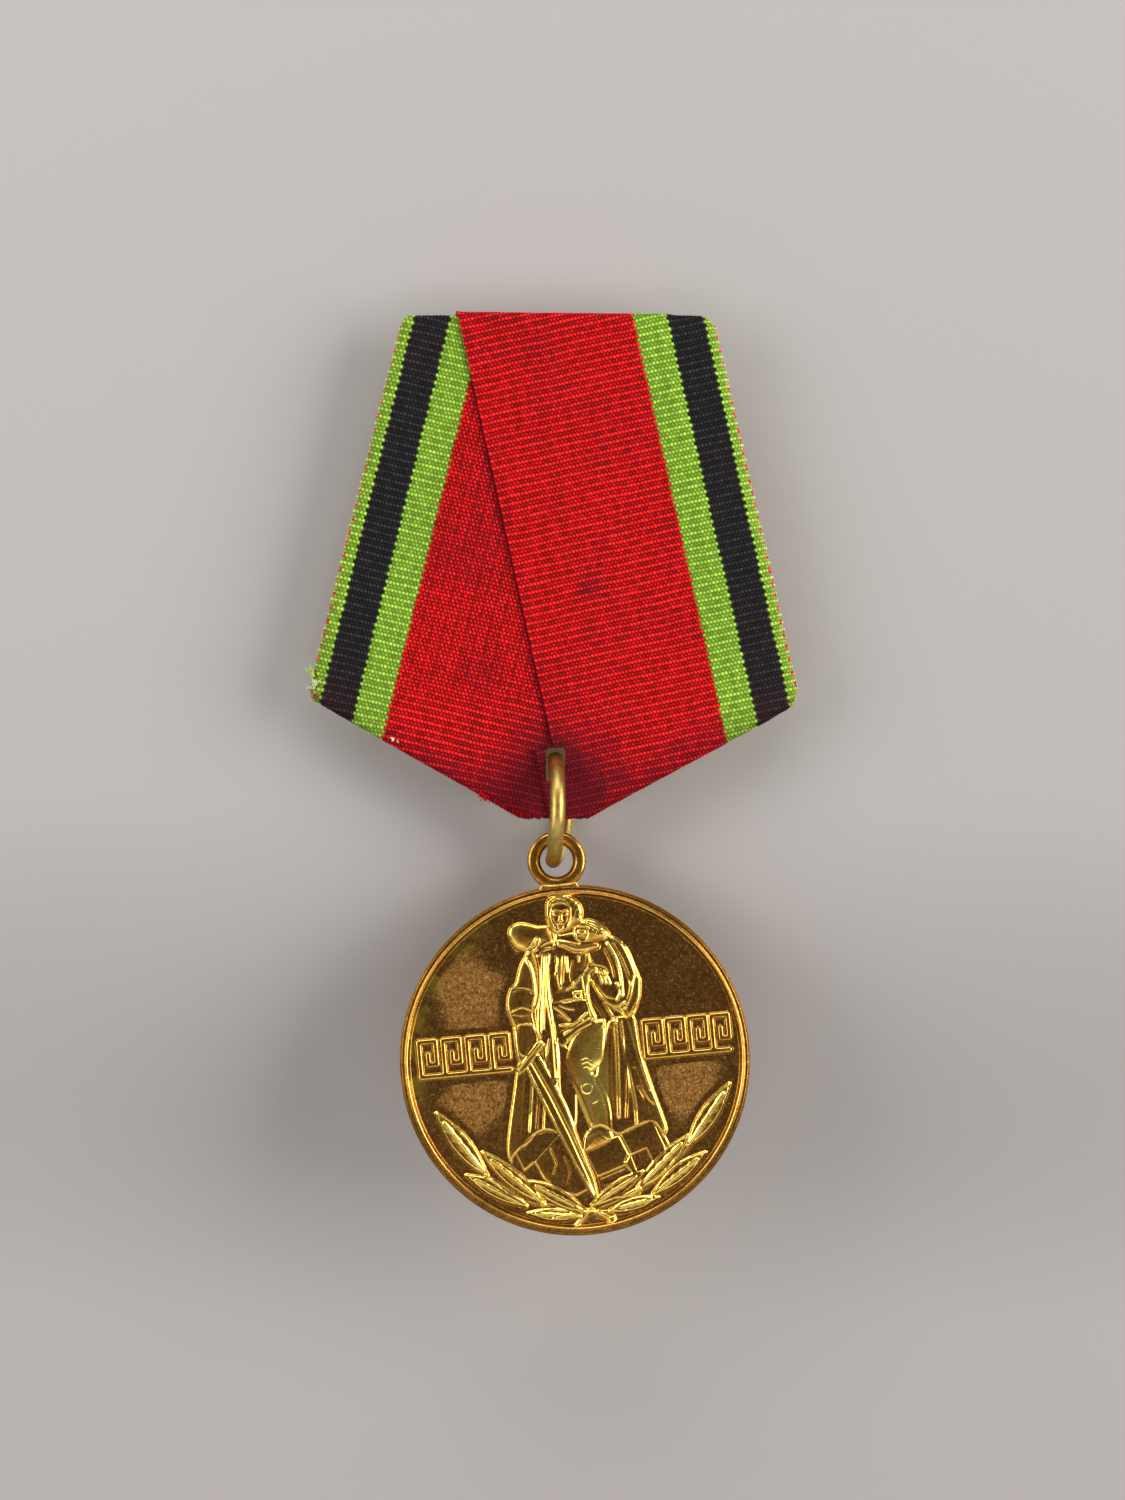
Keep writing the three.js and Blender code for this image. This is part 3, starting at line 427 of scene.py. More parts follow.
# Shapes of the struck relief, back to front, in millimetres from the disc's centre.
# S: smooth closed area, P: sharp closed area (level, edge, crown, crown width);
# L, O, C: straight, smooth and closed lines (width, height); B: bar (half width, level, edge).
SHAPES = """
B 0.24 0.24 0.12 | -14.1,-0.3 -14.1,2.9 -12.58,2.9 -12.58,0.78 -13.33,0.78 -13.33,1.75
B 0.24 0.24 0.12 | -11.9,-0.3 -11.9,2.9 -10.38,2.9 -10.38,0.78 -11.13,0.78 -11.13,1.75
B 0.24 0.24 0.12 | -9.7,-0.3 -9.7,2.9 -8.18,2.9 -8.18,0.78 -8.93,0.78 -8.93,1.75
B 0.24 0.24 0.12 | -7.5,-0.3 -7.5,2.9 -5.98,2.9 -5.98,0.78 -6.73,0.78 -6.73,1.75
B 0.24 0.24 0.12 | -14.1,-0.3 -5.92,-0.3
B 0.24 0.24 0.12 | 6.55,-0.3 6.55,2.9 8.07,2.9 8.07,0.78 7.32,0.78 7.32,1.75
B 0.24 0.24 0.12 | 8.61,-0.3 8.61,2.9 10.13,2.9 10.13,0.78 9.38,0.78 9.38,1.75
B 0.24 0.24 0.12 | 10.67,-0.3 10.67,2.9 12.19,2.9 12.19,0.78 11.44,0.78 11.44,1.75
B 0.24 0.24 0.12 | 12.73,-0.3 12.73,2.9 14.25,2.9 14.25,0.78 13.5,0.78 13.5,1.75
B 0.24 0.24 0.12 | 6.55,-0.3 14.17,-0.3
P 0.16 0.12 0 0.8 | 0.1,-8.34 6.54,-6.09 7.5,-8.66 4.73,-12.8 1.78,-12.9 0.99,-10.62
P 0.1 0.1 0 0.8 | 6.54,-6.09 6.92,-5.94 7.88,-8.51 7.5,-8.66
L 0.1 -0.13 | 3.45,-7.27 4.16,-8.99 3.73,-9.68
P 0.1 0.1 0 0.8 | 4.25,-9.09 5.76,-8.59 6.35,-10.2 4.81,-10.97
P 0.07 0.08 0 0.8 | 1.06,-10.81 3.71,-9.96 4.28,-10.74 2.09,-12.56 1.29,-12.3
L 0.07 0.06 | 1.42,-10.94 3.59,-10.22
L 0.05 0.05 | 1.63,-11.6 3.9,-10.8
P 0.15 0.12 0 0.8 | -4.54,-8.92 -2.03,-6.58 -0.95,-8.79 0.14,-11.83 -1.01,-12.36 -2.59,-11.57 -3.78,-10.55
L 0.07 -0.07 | -2.98,-7.87 -2.55,-9.19 -2.92,-10.26
L 0.07 -0.06 | -1.77,-8.71 -1.34,-10.04 -1.73,-11.29
P 0.1 0.12 0 0.8 | -6.27,-7.75 -4.5,-6.53 -3.2,-6.29 -2.03,-6.58 -4.54,-8.92 -5.53,-9.65
O 0.13 0.1 | -5.5,-7.36 -4.81,-6.87 -4.2,-6.2
S 0.2 0.15 0 0.8 | -5.05,0.4 -5.76,-2.29 -6.54,-5.7 -6.86,-7.69 -6.64,-8.81 -6.3,-8.11 -4.5,-6.53 -3,-6.12 -0.86,-6.78 -0.19,-3.54 -0.22,0.13 -1.32,2.07 -3.06,3.15
L 0.16 -0.06 | -4.5,-0.57 -5.44,-6.72
L 0.1 0.08 | -4.01,-1.17 -4.73,-6.05
L 0.12 -0.07 | -3.49,-2.5 -4.08,-5.93
L 0.08 0.07 | -3.1,-3.27 -3.44,-5.99
S 0.2 0.16 0 0.8 | 3.47,3.27 5.24,3.57 5.76,3.24 5.96,0.47 6.66,-2.89 7.55,-6.09 7.73,-7.12 7.41,-7.64 7.03,-6.78 6.35,-6.17 4.47,-6.72 3.15,-7.06 2.19,-5.6 1.8,-1.8 2.79,0.95
O 0.17 0.12 | 4.01,3.22 3.87,-0.25 3.53,-5.45
O 0.22 -0.08 | 3.49,2.54 2.98,-2 2.93,-5.48
O 0.15 0.12 | 4.47,3.18 4.68,-0.51 5.08,-4.03 5.06,-6.23
O 0.12 -0.09 | 4.68,1.51 4.62,-2.15 4.2,-5.6
O 0.11 0.05 | 5.2,3.2 5.82,-0.06 6.62,-3.26
O 0.12 -0.08 | 5.55,-2.97 6.17,-4.13 6.67,-4.73
O 0.14 -0.05 | 5.34,-1.3 5.94,-3.74 6.22,-5.6
O 0.13 0.09 | 5.75,3.15 6.03,0.28 6.74,-2.99 7.48,-5.9 7.65,-7.02
S 0.31 0.3 0.05 1.2 | 0.17,2.3 1.72,3.25 3.01,3.32 2.86,1.13 2.49,-0.3 1.58,-1.23 1.78,-1.61 2.33,-3.04 2.71,-4.91 2.73,-6.66 1.87,-7.03 0.99,-6.68 0.55,-5.44 -0.08,-3.37 -0.55,-1.49 -0.88,-0.08 -0.7,0.82
C 0.055 0.05 | 1.27,-2.62 1.15,-2.93 0.82,-3.04 0.51,-2.87 0.41,-2.54 0.57,-2.24 0.9,-2.13 1.21,-2.29
O 0.05 0.04 | 0.6,0.05 1.07,0.19 1.41,-0.11
O 0.05 0.04 | 0.66,-0.32 1.13,-0.18 1.47,-0.48
O 0.04 0.035 | 0.72,-0.69 1.09,-0.63 1.34,-0.84
L 0.07 0.05 | 1.33,-3.96 1.71,-3.81
O 0.13 0.07 | 1.82,-1.62 2.41,-3.23 2.71,-4.91 2.74,-6.56
O 0.17 0.07 | -0.87,0.01 -0.48,-1.68 0.26,-3.67 0.88,-5.84
S 0.3 0.16 0.03 0.6 | 0.43,-6.72 1.02,-6.31 1.85,-6.21 2.63,-6.74 2.75,-7.48 1.78,-8.03 0.45,-8.46 0.05,-8.33 0.07,-7.6
O 0.06 -0.05 | 0.6,-6.92 1.63,-6.64 2.49,-7.27
O 0.05 -0.04 | 0.37,-7.35 1.51,-7 2.54,-7.74
O 0.06 0.04 | 0.46,-6.44 1.4,-6.16 2.37,-6.62
O 0.08 0.05 | 0.3,-7.16 0.11,-8.16
S 0.26 0.16 0 0.8 | -1.64,5.58 -0.46,5.38 1.02,5.52 1.71,5.09 2.22,3.66 1.71,3.07 0.56,2.63 -0.34,1.79 -1.02,1.4 -1.5,2.08 -1.57,3.37
O 0.1 0.09 | -1.42,5.01 -0.82,4.5 -0.16,3.7
O 0.08 0.07 | -0.94,5.15 -0.33,4.82 0.3,4.67
O 0.11 0.11 | -1.02,3.32 0.17,3.3 1.44,4.2
O 0.09 0.1 | -0.73,2.47 0.43,3.19 1.58,3.72
O 0.07 0.09 | -0.5,1.99 0.57,2.72 1.72,3.25
O 0.09 -0.08 | -1.13,4.16 -0.62,3.74 -0.28,3.44
O 0.08 -0.08 | -0.99,2.68 -0.05,2.96 1.02,3.59
S 0.24 0.18 0.05 1.5 | -1.55,10.43 -0.88,10.83 0.37,10.44 1.78,9.76 2.06,8.91 1.47,7.49 1.25,6.05 -1.61,5.85 -1.59,8.05
O 0.16 0.1 | -1.31,10.14 -1.59,8.05 -1.5,6.12
O 0.16 0.1 | -0.56,9.33 -0.78,7.89 -0.7,6.78
O 0.09 -0.09 | -0.9,9.55 -1.02,8.28
O 0.08 0.09 | 0.1,9.46 0.07,8.17
O 0.1 -0.08 | -0.17,9.57 -0.49,7.13
O 0.09 -0.07 | 0.61,9.04 0.29,7.6 0.65,6.47
O 0.06 0.06 | -1.03,9.19 -0.9,8.63 -1.05,7.91
O 0.07 0.08 | 1.19,9.35 1.16,8.99
O 0.13 0.1 | -0.08,6.54 0.61,7.02 1.42,7.87
O 0.07 0.07 | 1.01,9.37 1.49,9.6
S 0.2 0.12 0 0.8 | -1.06,11.77 -0.17,11.5 1.03,11.57 1.31,10.63 0.2,10.55 -0.87,10.92
O 0.05 0.06 | -0.73,11.37 0.1,11.47 0.84,11.5
O 0.12 0.12 | -0.79,11.74 -0.8,11.19 -0.89,10.65
P 0.29 0.1 0 0.8 | -1.64,6.09 1.17,6.19 1.3,5.58 -1.61,5.4
P 0.34 0.08 0 0.8 | 0.35,6.27 1.18,6.28 1.24,5.45 0.46,5.43
P 0.26 0.07 0 0.8 | 0.56,6.02 1.02,6.04 1.06,5.66 0.62,5.65
S 0.27 0.14 0 0.8 | -3.72,9.81 -3.02,10.48 -1.88,10.83 -1.29,10.32 -1.68,8.06 -1.62,2.83 -1.58,-2.68 -2.07,-3 -2.36,-0.22 -2.72,1.83 -3.16,2.05 -3.29,4.54 -3.04,6.26 -3.41,8.22
O 0.19 0.15 | -1.98,9.83 -2.36,7.21 -2.84,4.5 -3.03,2.41
O 0.2 0.17 | -1.57,9.79 -1.95,6.71 -1.84,4.41 -1.7,2.47 -1.78,-1.38
O 0.08 -0.11 | -1.83,9.63 -2.21,6.55 -2.6,3.1
O 0.12 0.1 | -2.93,9.46 -2.79,8.99 -2.89,8.36
O 0.1 0.1 | -2.14,2.14 -2.56,0.53 -2.48,-0.58
O 0.09 0.09 | -3.07,2.05 -2.81,-0.18 -2.82,-1.28
O 0.1 0.1 | -1.5,2.08 -1.54,-0.3 -2.03,-2.64
S 0.31 0.2 0.05 1 | -3.61,9.98 -2.94,10.29 -2.63,9.71 -2.5,8.14 -2.67,6.32 -3.05,5.16 -3.47,4.65 -3.31,3.35 -3.05,2.23 -3.33,1.15 -4.14,0.4 -4.98,0.21 -5.24,1.33 -5.28,3.35 -5.59,4.48 -5.68,5.68 -5.37,6.85 -4.76,7.52 -4.26,8.94
O 0.12 0.1 | -3.56,9.61 -3.2,8.48 -3.08,6.82 -3.15,6.09 -3.45,4.83 -3.39,3.54
O 0.09 -0.08 | -5.1,6.82 -4.45,6.94 -3.55,6.68 -3.13,6.27
O 0.07 0.07 | -5.27,5 -4.42,5.29 -3.53,4.93
O 0.06 -0.06 | -5.22,4.54 -4.41,4.37 -3.49,4.38
C 0.06 0.07 | -4.85,3.59 -4.29,3.72 -3.66,3.57 -3.36,2.81 -3.34,2.07 -3.99,1.03 -4.73,0.92 -5.1,1.87
O 0.1 0.07 | -5.26,7.02 -5.61,5.77 -5.48,4.65 -5.2,3.71
O 0.13 0.1 | -5.24,3.35 -5.23,1.51 -5.05,0.4
S 0.29 0.2 0.07 1.1 | -4.98,11.85 -4.89,12.49 -4.45,12.83 -3.8,12.94 -3.08,12.76 -2.28,12.49 -1.37,12.44 -1.06,11.77 -0.97,10.84 -1.82,10.55 -2.74,10.45 -3.4,10.33 -4.11,10.58 -4.65,11.13
O 0.08 0.06 | -4.88,11.2 -4.56,10.71 -4.22,10.41
O 0.07 0.11 | -3.58,10.35 -2.98,10.93 -2.47,11.48
O 0.08 0.11 | -3.1,10.58 -2.71,10.82 -2.49,11.26
O 0.07 0.1 | -2.29,11.42 -2.23,11.05 -2.55,10.53
O 0.1 0.1 | -3.33,10.05 -2.37,10.51 -1.41,10.97 -0.78,10.82
O 0.07 0.08 | -2.63,9.71 -1.84,10.28 -0.92,10.38
S 0.3 0.2 0.05 1.4 | 2.17,10 3.14,10.64 4.18,11 4.97,10.56 5.71,9.67 6.21,8.15 6.55,6.84 6.34,5.03 5.81,3.79 5.22,3.39 4.54,3.91 3.51,4.74 2.69,5.73 2.08,7.07 1.82,8.2 2.01,9.28
O 0.15 0.1 | 4.39,10.25 5.01,9 5.44,7.68 5.7,6.55
O 0.13 0.12 | 3.94,10.38 4.55,9.04 4.86,7.45 4.87,5.53
O 0.1 -0.08 | 3.62,9.86 4.12,8.35 4.29,7.23
O 0.09 -0.07 | 5.31,10.26 5.9,8.73 6.31,7.23
O 0.08 0.1 | 2.21,9.53 2.34,8.88 2.66,8.39
O 0.12 0.13 | 4.42,6.67 4.72,5.91 4.38,5.21
O 0.18 0.13 | 5.93,7.08 5.51,5.47 4.95,4.42
O 0.13 0.13 | 6.55,6.84 6.31,5.21 5.64,3.99
O 0.1 0.13 | 2.18,7.15 2.62,6.01 3.36,5.03 4.23,4.58 4.99,4.87
O 0.1 -0.06 | 2.41,6.67 3.22,5.5 4.1,5.14
O 0.1 0.1 | 4.59,4.45 5.05,3.49
S 0.37 0.13 0.03 0.5 | 1.3,7.6 1.62,8.12 2.3,8.47 2.93,8.37 3.46,8.14 3.7,7.75 3.48,7.4 2.89,7.91 2.33,7.78 2.09,7.25 1.81,6.18 1.95,4.7 2.31,3.66 1.74,3.43 1.57,4.55 1.43,5.48
O 0.1 0.12 | 2.68,8.12 2.95,7.54 3.11,6.88
O 0.1 0.12 | 3.03,7.97 3.3,7.4 3.47,6.8
O 0.1 0.12 | 3.39,7.83 3.65,7.26 3.83,6.72
O 0.1 0.08 | 1.38,7.5 1.46,6.39 1.47,5.48
O 0.15 0.12 | 2.07,6.98 2.11,5.42 2.88,3.88 2.89,2.96
O 0.14 0.14 | 3.17,4.95 3.63,3.99 4.01,3.22
S 0.36 0.15 0.06 0.9 | 0.93,11.85 1.24,12.33 1.72,12.61 2.37,12.71 2.99,12.49 3.55,12.07 4.05,11.52 4.23,11.04 3.7,10.68 2.95,10.57 2.39,10.44 1.67,10.55 1.23,10.82 0.95,11.21
S 0.37 0.15 0.04 0.4 | -0.67,11.04 -0.12,11.04 0.5,10.81 1.13,10.64 1.86,10.65 2.5,10.67 3.13,10.51 3.17,10 2.51,9.78 1.95,9.65 1.17,9.69 0.59,9.87 -0.01,10.27 -0.67,10.55
O 0.08 0.05 | -0.58,11.03 0.5,10.78 1.3,10.59 2.5,10.63
O 0.09 0.07 | -0.53,10.56 0.17,10.22 0.78,9.85 1.95,9.69
O 0.07 0.05 | 1.75,12.47 2.38,12.27 3.08,11.93 3.76,11.32
O 0.06 0.05 | 1.4,12.18 1.81,12.09 2.34,11.91
O 0.05 -0.05 | 2.13,12.57 2.84,12.27 3.52,11.8
O 0.1 0.08 | 3.6,11.61 3.92,11.12 3.7,10.77
O 0.13 0.08 | 1,11.76 1.08,11.2 1.37,10.81
S 0.4 0.17 0.07 0.9 | -1.36,13.99 -1.26,14.63 -0.9,15.01 -0.38,15.2 0.22,15.22 0.8,15.02 1.36,14.64 1.81,14.07 1.94,13.32 1.71,12.61 1.08,12.17 0.46,11.88 -0.15,11.72 -0.66,11.65 -1.05,11.9 -1.28,12.43 -1.41,13.17
O 0.17 0.08 | -1.32,13.35 -1.24,13.98 -1.07,14.52 -0.68,14.88 -0.12,15.04 0.51,14.92 1.03,14.6 1.45,14.1 1.66,13.44 1.55,12.81
O 0.09 -0.07 | -0.94,14.14 -0.76,14.53 -0.33,14.74 0.17,14.66 0.59,14.32 0.78,13.89
O 0.06 -0.05 | -0.96,14.89 -0.83,14.64
O 0.06 -0.05 | -0.48,15.1 -0.38,14.82
O 0.06 -0.05 | 0.07,15.13 0.16,14.83
O 0.06 -0.05 | 0.61,14.97 0.58,14.64
O 0.06 -0.05 | 1.09,14.68 0.92,14.37
O 0.06 -0.05 | 1.51,14.28 1.26,14.03
O 0.06 -0.05 | 1.78,13.7 1.47,13.6
O 0.06 -0.05 | 1.85,13.15 1.54,13.12
S 0.44 0.16 0.025 0.5 | -0.81,14.11 -0.31,14.36 0.32,14.3 0.79,13.91 0.78,13.13 0.52,12.43 0.06,11.97 -0.48,12 -0.86,12.55 -1.01,13.3
O 0.07425 0.0935 | -0.73,13.68 -0.49,13.77 -0.26,13.65
S 0.475 0.07 0 0.8 | -0.73,13.42 -0.51,13.52 -0.31,13.38 -0.53,13.3
O 0.054 0.051 | -0.76,13.42 -0.51,13.56 -0.28,13.38
O 0.216 0.0595 | -0.65,12.99 -0.6,12.79
O 0.07425 0.0935 | 0.09,13.6 0.34,13.69 0.57,13.58
S 0.475 0.07 0 0.8 | 0.09,13.35 0.31,13.44 0.51,13.31 0.29,13.23
O 0.054 0.051 | 0.07,13.35 0.32,13.48 0.54,13.3
O 0.216 0.0595 | 0.36,12.9 0.26,12.71
O 0.11475 0.1445 | -0.09,13.6 -0.12,13.22 -0.15,12.91
O 0.081 0.102 | -0.31,12.84 -0.16,12.77 -0,12.81
O 0.0675 0.0765 | -0.48,12.55 -0.18,12.56 0.1,12.49
O 0.04725 -0.085 | -0.47,12.48 -0.19,12.44 0.08,12.43
O 0.07425 0.0765 | -0.41,12.36 -0.21,12.3 0.01,12.32
O 0.1215 0.085 | -0.37,12.12 -0.23,12.06 -0.08,12.1
S 0.405 0.12 0.02 0.4 | 1.24,11.92 1.64,12.08 2.09,11.95 2.23,11.49 2.06,11.03 1.62,10.89 1.28,11.14 1.17,11.56
S 0.455 0.05 0 0.8 | 1.35,11.6 1.48,11.66 1.59,11.57 1.46,11.52
O 0.04725 0.0595 | 1.36,11.74 1.49,11.79 1.61,11.72
S 0.455 0.05 0 0.8 | 1.79,11.56 1.91,11.62 2.02,11.53 1.9,11.48
O 0.04725 0.0595 | 1.79,11.7 1.92,11.74 2.05,11.68
O 0.081 0.085 | 1.69,11.58 1.67,11.38
O 0.04725 -0.068 | 1.52,11.2 1.79,11.17
O 0.07425 -0.085 | 2.05,12.47 2.2,12.16
O 0.07425 -0.085 | 2.35,12.24 2.53,11.91
O 0.07425 -0.085 | 2.66,12.01 2.85,11.66
O 0.07425 -0.085 | 2.97,11.78 3.18,11.41
C 0.06 0.07 | 0.92,13.74 1.09,13.86 1.22,13.66 1.17,13.3 0.99,13.1 0.87,13.24
O 0.189 0.085 | 0.98,13.04 0.75,12.51 0.16,12.11 -0.41,11.85
P 0.34 0.1 0 0.8 | -4.74,0.32 -3.27,0.87 -2.37,-1.32 -1.32,-3.8 -0.35,-7.2 0.77,-10.97 1.03,-13.1 0.45,-12.5 -0.61,-10.01 -1.8,-7.06 -3.23,-3.63 -4.34,-0.77
L 0.09 0.08 | -4.47,-0.21 -3.21,-3.44 -1.95,-6.68 -0.6,-9.92 0.7,-12.7
L 0.1 0.09 | -3.16,0.59 -2.06,-1.9 -1.17,-4.18 -0.27,-7.39 0.57,-10.21 0.98,-12.64
L 0.13 -0.12 | -3.89,0.1 -2.52,-2.96 -1.04,-6.76 0.26,-10.55 0.75,-12.16
P 0.41 0.1 0 0.8 | -5.44,-0.3 -5.11,-0.75 -4.74,-0.64 -2.64,1.68 -2.93,2.08 -3.31,1.93 -5.1,-0.06
L 0.07 -0.07 | -5.13,-0.42 -3.92,0.75 -2.9,1.85
C 0.06 0.05 | -5.34,-0.22 -5.02,-0.69 -5.3,-0.77 -5.5,-0.48
P 0.17 0.13 0.04 0.45 | -5.52,-13.5 -5.17,-13.72 -4.63,-13.98 -3.81,-14.29 -3.01,-14.44 -2.2,-14.46 -1.42,-14.38 -0.82,-14.28 -0.8,-14.15 -1.34,-13.88 -2.06,-13.57 -2.85,-13.35 -3.65,-13.26 -4.53,-13.31 -5.12,-13.4
O 0.1215 0.102 | -5.52,-13.5 -5.16,-13.7 -4.62,-13.93 -3.8,-14.22 -3,-14.36 -2.19,-14.4 -1.41,-14.34 -0.82,-14.27
O 0.1215 0.102 | -5.52,-13.5 -5.12,-13.42 -4.53,-13.36 -3.66,-13.33 -2.86,-13.43 -2.07,-13.63 -1.35,-13.91 -0.81,-14.16
O 0.162 0.17 | -4.76,-13.62 -2.7,-13.93 -0.81,-14.21
L 0.06 -0.03 | -3.93,-13.84 -4.44,-14.01
L 0.06 -0.03 | -3.9,-13.65 -4.34,-13.34
L 0.06 -0.03 | -3.18,-13.96 -3.69,-14.12
L 0.06 -0.03 | -3.15,-13.76 -3.59,-13.45
L 0.06 -0.03 | -2.43,-14.07 -2.93,-14.24
L 0.06 -0.03 | -2.4,-13.87 -2.83,-13.56
P 0.17 0.13 0.04 0.45 | 6.44,-13.14 6.05,-13.04 5.49,-12.96 4.65,-12.93 3.88,-13.03 3.14,-13.26 2.46,-13.58 1.95,-13.86 1.98,-13.99 2.54,-14.08 3.29,-14.15 4.07,-14.11 4.83,-13.95 5.6,-13.63 6.11,-13.37
O 0.1215 0.102 | 6.44,-13.14 6.06,-13.07 5.49,-13.01 4.66,-13 3.9,-13.11 3.15,-13.32 2.46,-13.61 1.95,-13.87
O 0.1215 0.102 | 6.44,-13.14 6.11,-13.35 5.59,-13.59 4.82,-13.88 4.06,-14.04 3.28,-14.08 2.54,-14.04 1.97,-13.98
O 0.162 0.17 | 5.72,-13.27 3.75,-13.61 1.96,-13.92
L 0.06 -0.03 | 4.9,-13.31 5.31,-13
L 0.06 -0.03 | 4.93,-13.51 5.42,-13.67
L 0.06 -0.03 | 4.18,-13.44 4.59,-13.12
L 0.06 -0.03 | 4.22,-13.63 4.71,-13.79
L 0.06 -0.03 | 3.47,-13.56 3.88,-13.24
L 0.06 -0.03 | 3.5,-13.75 3.99,-13.91
P 0.18 0.13 0.04 0.45 | -10.83,-9.52 -10.52,-9.95 -10.01,-10.52 -9.19,-11.3 -8.32,-11.89 -7.38,-12.36 -6.42,-12.7 -5.68,-12.91 -5.59,-12.77 -6.07,-12.15 -6.75,-11.38 -7.56,-10.7 -8.46,-10.17 -9.54,-9.78 -10.29,-9.59
O 0.1215 0.102 | -10.83,-9.52 -10.51,-9.93 -9.98,-10.48 -9.14,-11.23 -8.27,-11.82 -7.34,-12.3 -6.4,-12.66 -5.68,-12.9
O 0.1215 0.102 | -10.83,-9.52 -10.31,-9.62 -9.57,-9.84 -8.52,-10.25 -7.62,-10.79 -6.8,-11.46 -6.1,-12.19 -5.6,-12.78
O 0.162 0.17 | -10,-10.06 -7.72,-11.52 -5.64,-12.85
L 0.06 -0.03 | -9.13,-10.75 -9.8,-10.66
L 0.06 -0.03 | -8.99,-10.54 -9.33,-9.92
L 0.06 -0.03 | -8.3,-11.28 -8.97,-11.19
L 0.06 -0.03 | -8.16,-11.07 -8.5,-10.45
L 0.06 -0.03 | -7.47,-11.82 -8.14,-11.72
L 0.06 -0.03 | -7.33,-11.6 -7.67,-10.98
P 0.18 0.13 0.04 0.45 | 11.09,-9.45 10.55,-9.51 9.79,-9.7 8.73,-10.08 7.84,-10.62 7.06,-11.32 6.41,-12.11 5.95,-12.75 6.05,-12.89 6.78,-12.67 7.72,-12.32 8.65,-11.84 9.5,-11.24 10.3,-10.45 10.79,-9.88
O 0.1215 0.102 | 11.09,-9.45 10.57,-9.54 9.83,-9.76 8.79,-10.17 7.91,-10.72 7.11,-11.4 6.44,-12.15 5.96,-12.76
O 0.1215 0.102 | 11.09,-9.45 10.78,-9.86 10.26,-10.41 9.45,-11.17 8.6,-11.77 7.68,-12.26 6.76,-12.63 6.05,-12.88
O 0.162 0.17 | 10.28,-9.99 8.04,-11.48 6.01,-12.83
L 0.06 -0.03 | 9.28,-10.47 9.59,-9.84
L 0.06 -0.03 | 9.43,-10.69 10.09,-10.59
L 0.06 -0.03 | 8.47,-11.02 8.78,-10.38
L 0.06 -0.03 | 8.61,-11.23 9.28,-11.13
L 0.06 -0.03 | 7.66,-11.56 7.96,-10.92
L 0.06 -0.03 | 7.8,-11.78 8.47,-11.67
P 0.22 0.13 0.04 0.45 | -5.34,-10.58 -5.05,-11 -4.57,-11.56 -3.8,-12.31 -2.98,-12.88 -2.07,-13.33 -1.16,-13.65 -0.45,-13.86 -0.35,-13.71 -0.79,-13.09 -1.42,-12.33 -2.18,-11.66 -3.04,-11.15 -4.07,-10.8 -4.81,-10.63
O 0.1215 0.102 | -5.34,-10.58 -5.03,-10.98 -4.54,-11.51 -3.75,-12.24 -2.93,-12.81 -2.03,-13.27 -1.14,-13.62 -0.44,-13.85
O 0.1215 0.102 | -5.34,-10.58 -4.83,-10.66 -4.11,-10.86 -3.1,-11.24 -2.24,-11.76 -1.47,-12.41 -0.82,-13.14 -0.36,-13.72
O 0.162 0.17 | -4.55,-11.1 -2.38,-12.51 -0.41,-13.79
L 0.06 -0.03 | -3.72,-11.77 -4.37,-11.69
L 0.06 -0.03 | -3.58,-11.55 -3.88,-10.93
L 0.06 -0.03 | -2.94,-12.28 -3.58,-12.2
L 0.06 -0.03 | -2.79,-12.06 -3.09,-11.44
L 0.06 -0.03 | -2.15,-12.8 -2.79,-12.71
L 0.06 -0.03 | -2,-12.58 -2.3,-11.95
P 0.22 0.13 0.04 0.45 | 5.29,-10.65 4.81,-10.7 4.12,-10.84 3.13,-11.13 2.28,-11.55 1.5,-12.11 0.82,-12.74 0.33,-13.25 0.41,-13.38 1.1,-13.25 2,-13.03 2.89,-12.68 3.71,-12.2 4.5,-11.53 4.99,-11.03
O 0.1215 0.102 | 5.29,-10.65 4.82,-10.72 4.15,-10.89 3.17,-11.21 2.32,-11.63 1.53,-12.17 0.84,-12.77 0.34,-13.26
O 0.1215 0.102 | 5.29,-10.65 4.98,-11.01 4.47,-11.49 3.67,-12.12 2.85,-12.6 1.96,-12.97 1.08,-13.22 0.4,-13.37
O 0.162 0.17 | 4.51,-11.08 2.34,-12.25 0.37,-13.31
L 0.06 -0.03 | 3.57,-11.46 3.92,-10.94
L 0.06 -0.03 | 3.67,-11.66 4.3,-11.64
L 0.06 -0.03 | 2.78,-11.88 3.14,-11.37
L 0.06 -0.03 | 2.89,-12.09 3.51,-12.07
L 0.06 -0.03 | 1.99,-12.31 2.35,-11.8
L 0.06 -0.03 | 2.1,-12.51 2.73,-12.49
P 0.23 0.13 0.04 0.45 | -9.19,-7.57 -8.95,-8.15 -8.52,-8.94 -7.79,-10.05 -6.94,-10.94 -5.97,-11.69 -4.94,-12.29 -4.13,-12.7 -4,-12.57 -4.45,-11.8 -5.1,-10.81 -5.89,-9.86 -6.78,-9.03 -7.86,-8.28 -8.63,-7.83
O 0.1215 0.102 | -9.19,-7.57 -8.92,-8.12 -8.47,-8.89 -7.71,-9.97 -6.86,-10.85 -5.9,-11.62 -4.9,-12.25 -4.12,-12.69
O 0.1215 0.102 | -9.19,-7.57 -8.65,-7.85 -7.9,-8.32 -6.85,-9.09 -5.95,-9.93 -5.16,-10.87 -4.49,-11.83 -4.01,-12.58
O 0.162 0.17 | -8.37,-8.38 -6.11,-10.6 -4.06,-12.63
L 0.06 -0.03 | -7.55,-9.39 -8.31,-9.14
L 0.06 -0.03 | -7.36,-9.2 -7.66,-8.48
L 0.06 -0.03 | -6.73,-10.2 -7.49,-9.95
L 0.06 -0.03 | -6.54,-10.01 -6.84,-9.29
L 0.06 -0.03 | -5.91,-11.01 -6.67,-10.76
L 0.06 -0.03 | -5.72,-10.82 -6.02,-10.1
